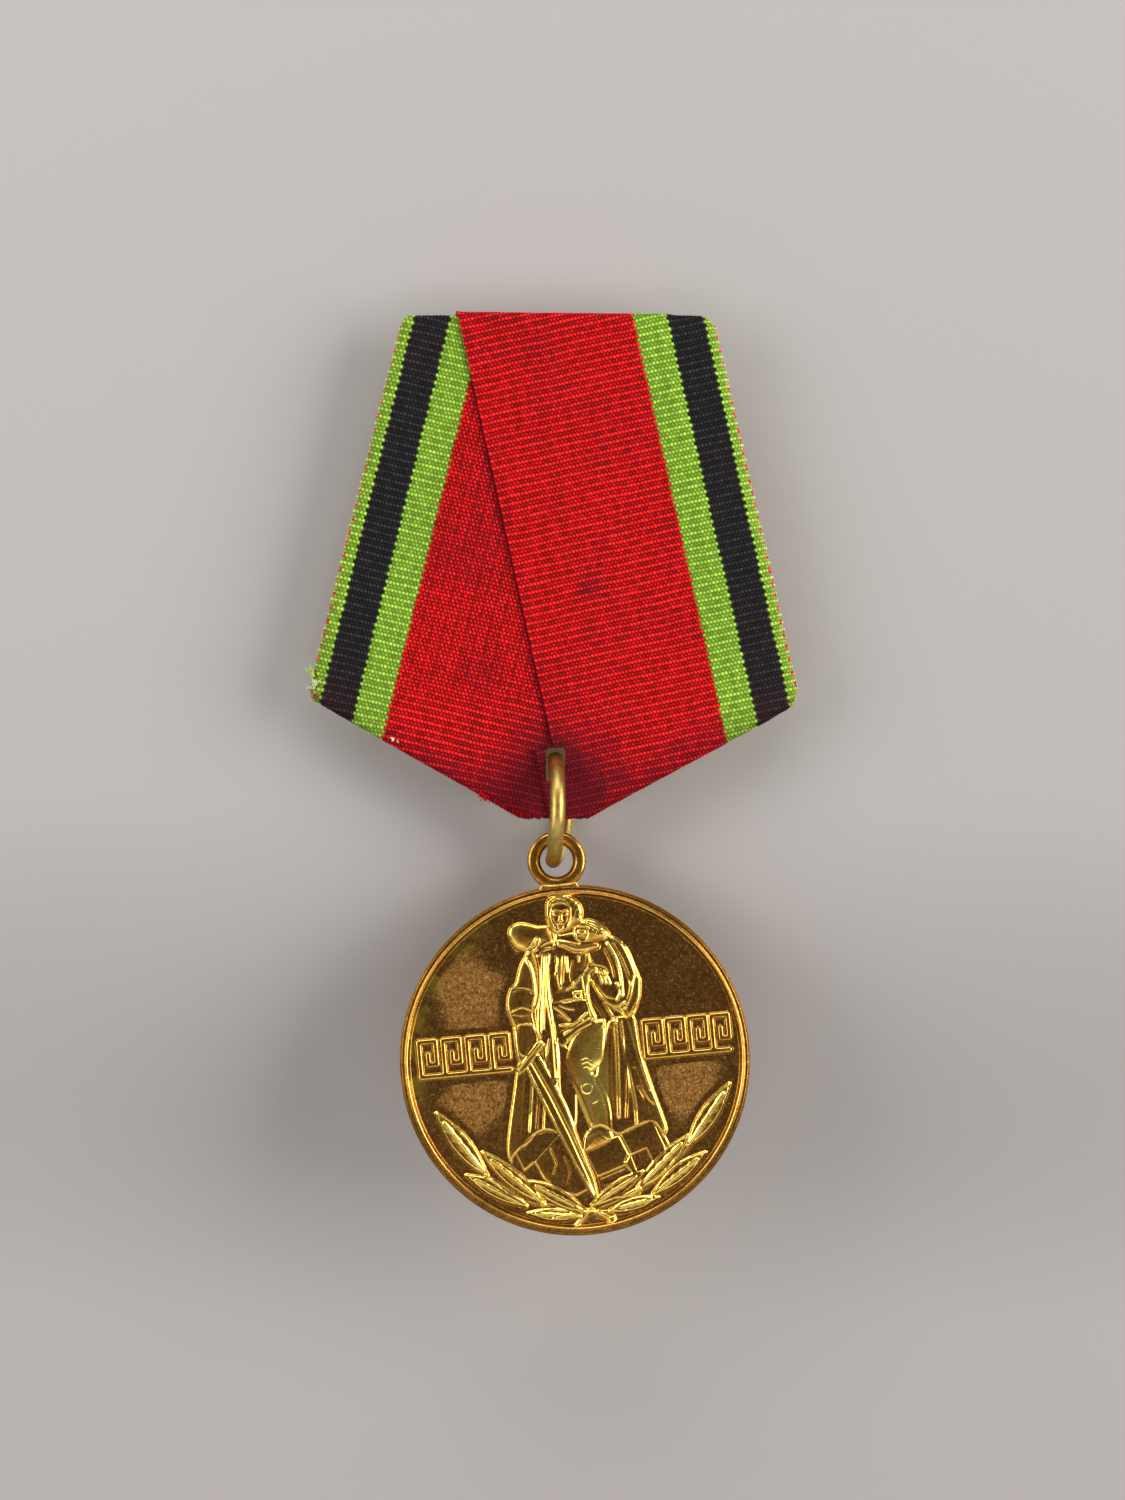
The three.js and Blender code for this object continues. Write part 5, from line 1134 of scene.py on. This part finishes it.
    # the mesh is given its thickness along the bent normal: bend two surfaces
    surf = []
    for off in (-0.13 - lift, np.full(len(lift), 0.13)):
        Pq, yq = flatP.copy(), flaty + off
        a, b = sgn(wide, top_r)
        Pq, yq, _ = wrap(Pq, yq, a, b, rho, mid)
        a, b = np.array([50.0, top_z]), np.array([-50.0, top_z])
        Pq, yq, s_top = wrap(Pq, yq, a, b, rho, mid)
        lo_a, lo_b = np.array([side * TIP_HALF, TIP_Z]), np.array([side * 22.36, -10.85])
        a, b = sgn(lo_a, lo_b)
        Pq, yq, s_low = wrap(Pq, yq, a, b, rho, mid)
        surf.append(np.stack([Pq[:, 0], yq, Pq[:, 1]], -1))
        if len(surf) == 1:
            st, sl = s_top, s_low
    # what is cut away: the raw ends behind, the tip, and the slot for the ring
    ld = unit((side * TIP_HALF, TIP_Z), (side * 22.36, -10.85))
    along = (flatP - np.array([side * TIP_HALF, TIP_Z])) @ ld
    rag = 0.16 * value_noise(T_ * 3.0, S_ * 0.2, 0.5, seed + 8) + 0.10 * r2.uniform(-1, 1, len(T_))
    keep = (st < math.pi * rho + 5.5) & (sl < math.pi * rho + 3.6 + rag)
    keep &= ~((flatP[:, 1] < TIP_Z - 0.16 + 0.5 * rag) & ((along < 0.0) | (sl < 0)))
    keep &= ~((along < -0.35 + 0.6 * rag) & (sl > 1.1))
    keep &= (T_ >= 0) | (flatP[:, 1] < -15.4)
    hx = flatP[:, 0] - 0.17
    slack = 0.02 if side > 0 else 0.0  # the ring swings against the upper panel
    hole = (np.abs(hx) < 0.84 + slack + 0.03 * value_noise(flatP[:, 0], flatP[:, 1], 0.5, seed + 9)) & (flatP[:, 1] > -18.22) & (flatP[:, 1] < -15.30)
    corner = (np.abs(hx) < 0.92 - 0.5 * np.clip((flatP[:, 1] + 15.9) / 0.8, 0, 1) ** 2)
    front = (st <= 0) & (sl <= 0)
    keep &= ~(hole & corner & front)
    K = keep.reshape(nsr, nt)
    cellk = K[:-1, :-1] & K[1:, :-1] & K[:-1, 1:] & K[1:, 1:]
    # lone cells are dropped: those with fewer than two neighbours, twice over
    for _ in range(2):
        nb = np.zeros(cellk.shape, int)
        nb[1:] += cellk[:-1]; nb[:-1] += cellk[1:]; nb[:, 1:] += cellk[:, :-1]; nb[:, :-1] += cellk[:, 1:]
        cellk &= nb >= 2
    R, C = np.nonzero(cellk)
    qf = np.stack([R * nt + C, R * nt + C + 1, (R + 1) * nt + C + 1, (R + 1) * nt + C], -1)
    NV = nt * nsr
    qb = qf[:, ::-1] + NV
    walls = []
    for dr, dc, (p, q_) in ((-1, 0, (0, 1)), (0, 1, (1, 2)), (1, 0, (2, 3)), (0, -1, (3, 0))):
        pad = np.pad(cellk, 1)
        other = pad[1 + dr:1 + dr + cellk.shape[0], 1 + dc:1 + dc + cellk.shape[1]]
        m = cellk & ~other
        r_, c_ = np.nonzero(m)
        quad = np.stack([r_ * nt + c_, r_ * nt + c_ + 1, (r_ + 1) * nt + c_ + 1, (r_ + 1) * nt + c_], -1)
        e0, e1 = quad[:, p], quad[:, q_]
        walls.append(np.stack([e1, e0, e0 + NV, e1 + NV], -1))
    Qa = np.concatenate([qf, qb, *walls])
    Va = np.concatenate(surf)
    used = np.unique(Qa)
    remap = np.full(len(Va), -1)
    remap[used] = np.arange(len(used))
    grime_and_shade = np.zeros(len(T_))
    # darker towards the tip and round the slot, and dusty at the fold
    dist = np.hypot(flatP[:, 0] * 0.8, flatP[:, 1] + 18.5)
    grime_and_shade += 1.25 * np.exp(-((dist / 4.3) ** 2)) + 0.55 * np.exp(-(np.maximum(-sl - rho, 0) / 0.7)) * (0.6 + 0.4 * value_noise(T_, S_, 1.5, seed + 12))
    grime_and_shade += 0.5 * np.exp(-(((flatP[:, 0] - 3.2) ** 2 + (flatP[:, 1] + 0.6) ** 2) / 1.1 ** 2)) * (side > 0)
    grime_and_shade += 0.30 * np.clip(value_noise(flatP[:, 0], flatP[:, 1], 5.0, seed + 13), 0, 1)
    if side < 0:  # the shade that the upper panel's edge lays on the under one
        edge_d = -9.25 + (TOP_Z - flatP[:, 1]) * math.tan(LEAN) - flatP[:, 0]
        grime_and_shade += 0.7 * np.exp(-np.clip(edge_d, 0, 9) / 0.30)
    # grime with painted shade round the slot, where the ring comes out from under the cloth
    slot_grime_and_shade = np.exp(-((hx / 1.5) ** 2) - ((flatP[:, 1] + 16.6) / 1.9) ** 2)
    grime_and_shade += 0.8 * slot_grime_and_shade
    grime_and_shade = grime_and_shade * np.where(tc < 15.6, 1.0, 0.35)
    at = {"dye": dye, "ts": np.stack([T_, S_, 0 * T_], -1), "float_h": np.clip(bump, 0, 1), "grime_and_shade": np.clip(grime_and_shade, 0, 1)}
    at = {k: np.concatenate([x, x])[used] for k, x in at.items()}
    return Va[used], remap[Qa], at


Y_LEFT, Y_RIGHT, Y_TUCK_L, Y_TUCK_R = -2.30, -2.68, -1.22, -0.84
for side, name, yf, yt, tz, node, seed in ((-1, "ribbon_left_woven", Y_LEFT, Y_TUCK_L, 24.0, "ribbon_left_panel", 100),
                                           (1, "ribbon_right_woven", Y_RIGHT, Y_TUCK_R, 24.38, "ribbon_right_panel", 200)):
    v, q, at = panel(side, yf, yt, tz, seed)
    if side < 0:
        q = q[:, ::-1]
    o = make(name, v, q, None, at, material=SILK)
    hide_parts(node)
    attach(o, "mount")

# ---------------------------------------------------------- plates and fittings
def bevelled(node, name, width, material, angle=30, segments=3):
    """A CAD solid with its sharp edges broken, standing in its place."""
    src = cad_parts[node]
    me = src.data.copy()
    me.name = name
    o = bpy.data.objects.new(name, me)
    bpy.context.scene.collection.objects.link(o)
    import bmesh
    b = bmesh.new()
    b.from_mesh(me)
    bmesh.ops.remove_doubles(b, verts=b.verts, dist=2e-6)
    bmesh.ops.dissolve_limit(b, angle_limit=math.radians(1), verts=b.verts, edges=b.edges)
    sharp = [e for e in b.edges if len(e.link_faces) == 2 and e.calc_face_angle(0) > math.radians(angle)]
    bmesh.ops.bevel(b, geom=sharp, offset=width * 0.001, offset_type="OFFSET", segments=segments, profile=0.5, affect="EDGES", clamp_overlap=True)
    bmesh.ops.triangulate(b, faces=b.faces)
    bmesh.ops.recalc_face_normals(b, faces=b.faces)
    b.to_mesh(me)
    b.free()
    me.materials.clear()
    me.materials.append(material)
    for p in me.polygons:
        p.use_smooth = True
    mod = o.modifiers.new("normals", "WEIGHTED_NORMAL")
    mod.keep_sharp = False
    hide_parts(node)
    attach(o, "mount")
    return o


bevelled("carrier_plate", "carrier_plate_stamped", 0.10, SHEET)
bevelled("back_plate", "back_plate_stamped", 0.12, SHEET)
bevelled("pin_hinge_bracket", "pin_hinge_bracket_formed", 0.09, STEEL)
bevelled("pin_catch", "pin_catch_formed", 0.09, STEEL)

PIN = np.array([-11.0, 1.95, 14.0])


def rounded(r0, r1, h0, h1, c, n=4):
    """Profile of a ring of rectangular section with corners of radius c."""
    out = []
    for cx, cy, a0 in ((r1 - c, h1 - c, 0), (r0 + c, h1 - c, 90), (r0 + c, h0 + c, 180), (r1 - c, h0 + c, 270)):
        for k in range(n + 1):
            a = math.radians(a0 + 90 * k / n)
            out.append((cx + c * math.cos(a), cy + c * math.sin(a)))
    return out


def headed(r, R, h0, h1, cap0, cap1, c=0.16, n=5):
    """Profile, axis to axis, of a pin of radius r from h0 to h1; cap0 and cap1 are
    the thickness of a head of radius R at each end, or 0 for none."""
    out = [(0, h0)]
    if cap0:
        out += [(R * math.sin(a) * 0.995, h0 + c * (1 - math.cos(a)) * 1.4) for a in np.linspace(0.35, math.pi / 2, n)]
        out += [(R, h0 + cap0 * 0.8), (R * 0.94, h0 + cap0), (r, h0 + cap0)]
    else:
        out += [(r * 0.86, h0), (r, h0 + 0.08)]
    if cap1:
        out += [(r, h1 - cap1), (R * 0.94, h1 - cap1), (R, h1 - cap1 * 0.8)]
        out += [(R * math.sin(a) * 0.995, h1 - c * (1 - math.cos(a)) * 1.4) for a in np.linspace(math.pi / 2, 0.35, n)]
    else:
        out += [(r, h1 - 0.08), (r * 0.86, h1)]
    return out + [(0, h1)]


# the needle and its eye
eye = revolve(rounded(0.60, 1.14, -0.94, 0.94, 0.14), PIN, "Z", 72)
xs = np.concatenate([np.linspace(-10.1, 8.6, 60), np.linspace(8.75, 13.12, 34)])
rad = np.interp(xs, [-10.2, 8.7, 11.0, 12.6, 13.0, 13.2], [0.5, 0.5, 0.36, 0.15, 0.06, 0.03]) * (1 + 0.012 * np.sin(xs * 2.1))
rad[0] = 0.46
needle = tube(np.stack([xs, np.full(len(xs), PIN[1]) + 0.02 * np.sin(xs * 0.25), np.full(len(xs), PIN[2])], -1), rad, 28, normal=(0, 0, 1.0))
v, q, t, _ = join([(*eye, {}), (*needle, {})])
pin = make("brooch_pin_wire", v, q, t, material=STEEL)
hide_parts("brooch_pin")
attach(pin, "pin")

v, q, t = revolve(headed(0.42, 0.84, -2.29, 2.29, 0.42, 0.42), PIN, "Z", 64)
axle = make("pin_hinge_axle_peened", v, q, t, material=STEEL)
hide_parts("pin_hinge_axle")
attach(axle, "mount")

for x_r, name, node in ((-14.1, "rivet_hinge_side_domed", "rivet_hinge_side"), (13.5, "rivet_catch_side_domed", "rivet_catch_side")):
    v, q, t = revolve(headed(0.59, 1.04, -2.03, 1.02, 0, 0.36), (x_r, 0, 14), "Y", 64)
    r_ = make(name, v, q, t, material=SHEET)
    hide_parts(node)
    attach(r_, "mount")


# ------------------------------------------------------------------ frayed ends
def fibre(points, r0, colour, wob, seed):
    p = smooth_line(points, False, 7)
    g = np.random.default_rng(seed)
    k = np.linspace(0, 1, len(p))
    for ax in range(3):
        p[:, ax] = p[:, ax] + wob * np.sin(k * g.uniform(4, 9) + g.uniform(0, 6)) * k
    v, q, t = tube(p, r0 * (1 - 0.35 * k), 7, True, normal=(0.3, 0.5, 0.8))
    c = np.array(colour[:3]) * g.uniform(0.75, 1.2)
    return v, q, t, {"dye": np.repeat(c[None], len(v), 0)}


def tuft(at, heading, length, spread, count, colour, seed, r0=0.045, y=-2.5, wide=0.45):
    """Loose fibres along a short stretch of edge, most of them lying one way."""
    g, out = np.random.default_rng(seed), []
    h = math.radians(heading)
    for k in range(count):
        a = h + math.radians(g.normal(0, spread))
        l = length * g.uniform(0.3, 1.0) * (1 - 0.5 * abs(g.normal(0, 0.5)))
        off = g.uniform(-wide, wide)
        o = np.array([at[0] - math.sin(h) * off - math.cos(h) * 0.25, y + g.uniform(-0.15, 0.35), at[1] + math.cos(h) * off - math.sin(h) * 0.25])
        d = np.array([math.cos(a), g.uniform(-0.25, 0.25), math.sin(a)])
        side = np.array([-d[2], 0, d[0]]) * g.uniform(-0.45, 0.45) * l
        out.append(fibre([o, o + d * l * 0.35 + side * 0.1, o + d * l * 0.7 + side * 0.45, o + d * l + side], r0 * g.uniform(0.6, 1.1), colour, 0.04, seed * 50 + k))
    return out


PALE, LEAF, WINE = lin(206, 214, 176), lin(150, 190, 90), lin(110, 4, 18)
fr = []
fr += tuft((-22.0, -9.7), 150, 0.8, 35, 26, PALE, 1, 0.045, wide=0.4)
fr += tuft((-22.15, -8.8), 112, 1.5, 12, 14, LEAF, 2, 0.05, wide=0.2)
fr += tuft((-21.9, -10.9), 235, 0.5, 40, 16, lin(150, 20, 34), 3, 0.05, wide=0.3)
fr += tuft((-14.9, -14.7), 240, 0.4, 45, 16, PALE, 4, 0.05, wide=0.5)
fr += tuft((-6.3, -19.8), 240, 0.85, 35, 44, lin(176, 6, 16), 5, 0.05, wide=0.55)
fr += tuft((-5.0, -20.5), 240, 0.5, 40, 44, lin(150, 4, 14), 15, 0.045, wide=0.8)
fr += tuft((-3.3, -21.3), 250, 0.7, 35, 44, lin(150, 4, 16), 6, 0.05, wide=0.55)
fr += tuft((-1.9, -21.55), 270, 0.55, 35, 44, lin(130, 4, 16), 7, 0.05, wide=0.8)
fr += tuft((1.9, -21.55), 270, 0.35, 40, 34, WINE, 8, 0.045, wide=0.9)
fr += tuft((3.5, -21.3), 290, 0.55, 35, 44, lin(140, 6, 20), 9, 0.05, wide=0.6)
fr += tuft((21.7, -10.9), 300, 0.35, 50, 12, lin(170, 80, 60), 10, 0.04, wide=0.3)
fr += tuft((-14.1, 23.7), 130, 0.4, 50, 10, LEAF, 11, 0.04, wide=0.3)
v, q, t, at = join(fr)
frays = make("ribbon_frayed_fibres", v, q, t, at, material=FIBRE)
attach(frays, "mount")


# ------------------------------------------------------------- stage and lights
def stage_paint(name, colour, rough, one_sided):
    n = Nodes(name)
    f = n.noise(n.coords((9, 9, 9)), 1.2, 3, 0.5)
    # painted light: the cards are lighter to the left and top and darker to the right and bottom, as the lamps' falloff
    sep = n.new("ShaderNodeSeparateXYZ")
    n.put(sep.inputs[0], n.coords((1, 1, 1)))
    side = n.math("ADD", n.math("MULTIPLY", n.range(sep.outputs[0], -0.05, 0.05, 0.0, 1.0, smooth=False), 0.5),
                  n.math("MULTIPLY", n.range(sep.outputs[2], 0.05, -0.085, 0.0, 1.0, smooth=False), 0.5))
    c = n.mix(n.math("MULTIPLY", side, n.math("ADD", 0.9, n.math("MULTIPLY", f, 0.2))), lin(*[x * 1.035 for x in colour]), lin(*[x * 0.965 for x in colour]))
    n.set(color=c, rough=rough, spec=0.25)
    if one_sided:
        mix = n.new("ShaderNodeMixShader")
        n.put(mix.inputs[0], n.new("ShaderNodeNewGeometry").outputs["Backfacing"])
        n.put(mix.inputs[1], n.p.outputs[0])
        n.put(mix.inputs[2], n.new("ShaderNodeBsdfTransparent").outputs[0])
        n.put(n.out.inputs[0], mix.outputs[0])
    return n.m


def plane(name, corners, material):
    o = make(name, np.array(corners, float), [[0, 1, 2, 3]], None, smooth=False, material=material)
    return o


# a card close behind the ribbon that curves away below it, clear of the medal
# when it swings back
wz = np.concatenate([[-112.0], np.linspace(-76, -16, 41), [84.0]])
wy = 3.3 + 13.7 * sstep((-wz - 20) / 50)
wv = np.stack([np.repeat([[-78.0, 78.0]], len(wz), 0).ravel(), np.repeat(wy, 2), np.repeat(wz, 2)], -1)
wall = make("backdrop", wv, [[2 * k, 2 * k + 1, 2 * k + 3, 2 * k + 2] for k in range(len(wz) - 1)], None, material=stage_paint("backdrop_card", (160, 156, 155), 0.7, True))
wall.visible_shadow = False
floor = plane("floor", [(-600, -260, -300), (600, -260, -300), (600, 600, -300), (-600, 600, -300)], stage_paint("floor_card", (172, 170, 169), 0.6, False))

AIM = Vector((0.0, 0.0, -0.018))


def area(name, at, size, power, colour):
    l = bpy.data.lights.new(name, "AREA")
    l.shape, l.size, l.size_y, l.energy, l.color = "RECTANGLE", size[0], size[1], power, colour
    o = bpy.data.objects.new(name, l)
    o.location = Vector(at)
    o.rotation_mode = "QUATERNION"
    o.rotation_quaternion = (AIM - Vector(at)).to_track_quat("-Z", "Y")
    bpy.context.scene.collection.objects.link(o)
    return o


area("light_left", (-0.40, -0.29, 0.04), (0.30, 0.40), 1.6, (1.0, 0.985, 0.96))
area("light_right", (0.40, -0.27, 0.04), (0.30, 0.40), 2.8, (1.0, 0.97, 0.92))
area("light_top", (-0.05, -0.27, 0.40), (0.50, 0.30), 1.4, (1.0, 0.99, 0.97))
area("light_front_low", (0.0, -0.40, -0.25), (0.50, 0.16), 0.4, (1.0, 0.99, 0.97))
area("light_back_left", (-0.34, 0.36, 0.20), (0.30, 0.30), 1.6, (1.0, 0.99, 0.97))
area("light_back_right", (0.34, 0.36, 0.16), (0.30, 0.30), 1.8, (1.0, 0.99, 0.97))

world = bpy.data.worlds.new("studio")
bpy.context.scene.world = world
world.use_nodes = True
wt = world.node_tree
bg = next(n for n in wt.nodes if n.type == "BACKGROUND")
wo = next(n for n in wt.nodes if n.type == "OUTPUT_WORLD")
bg.inputs[0].default_value = (0.92, 0.95, 1.0, 1)
bg.inputs[1].default_value = 0.16
seen = wt.nodes.new("ShaderNodeBackground")
seen.inputs[0].default_value = (0.62, 0.60, 0.58, 1)
seen.inputs[1].default_value = 1.0
lp, mx = wt.nodes.new("ShaderNodeLightPath"), wt.nodes.new("ShaderNodeMixShader")
wt.links.new(lp.outputs["Is Camera Ray"], mx.inputs[0])
wt.links.new(bg.outputs[0], mx.inputs[1])
wt.links.new(seen.outputs[0], mx.inputs[2])
wt.links.new(mx.outputs[0], wo.inputs[0])

# ----------------------------------------------------------------------- camera
cam_data = bpy.data.cameras.new("camera")
cam_data.lens, cam_data.sensor_width, cam_data.sensor_fit = 92.0, 36.0, "AUTO"
cam_data.clip_start, cam_data.clip_end = 0.01, 10.0
cam = bpy.data.objects.new("camera", cam_data)
c, s = math.cos(math.radians(0.63)), math.sin(math.radians(0.63))
cam.matrix_world = Matrix(((c, -s, 0, 0.00078), (0, 0, -1, -0.3524), (s, c, 0, -0.01545), (0, 0, 0, 1)))
bpy.context.scene.collection.objects.link(cam)
bpy.context.scene.camera = cam

# plain colours, so that what the materials say is what is seen
bpy.context.scene.view_settings.view_transform = "Standard"

bpy.context.view_layer.update()
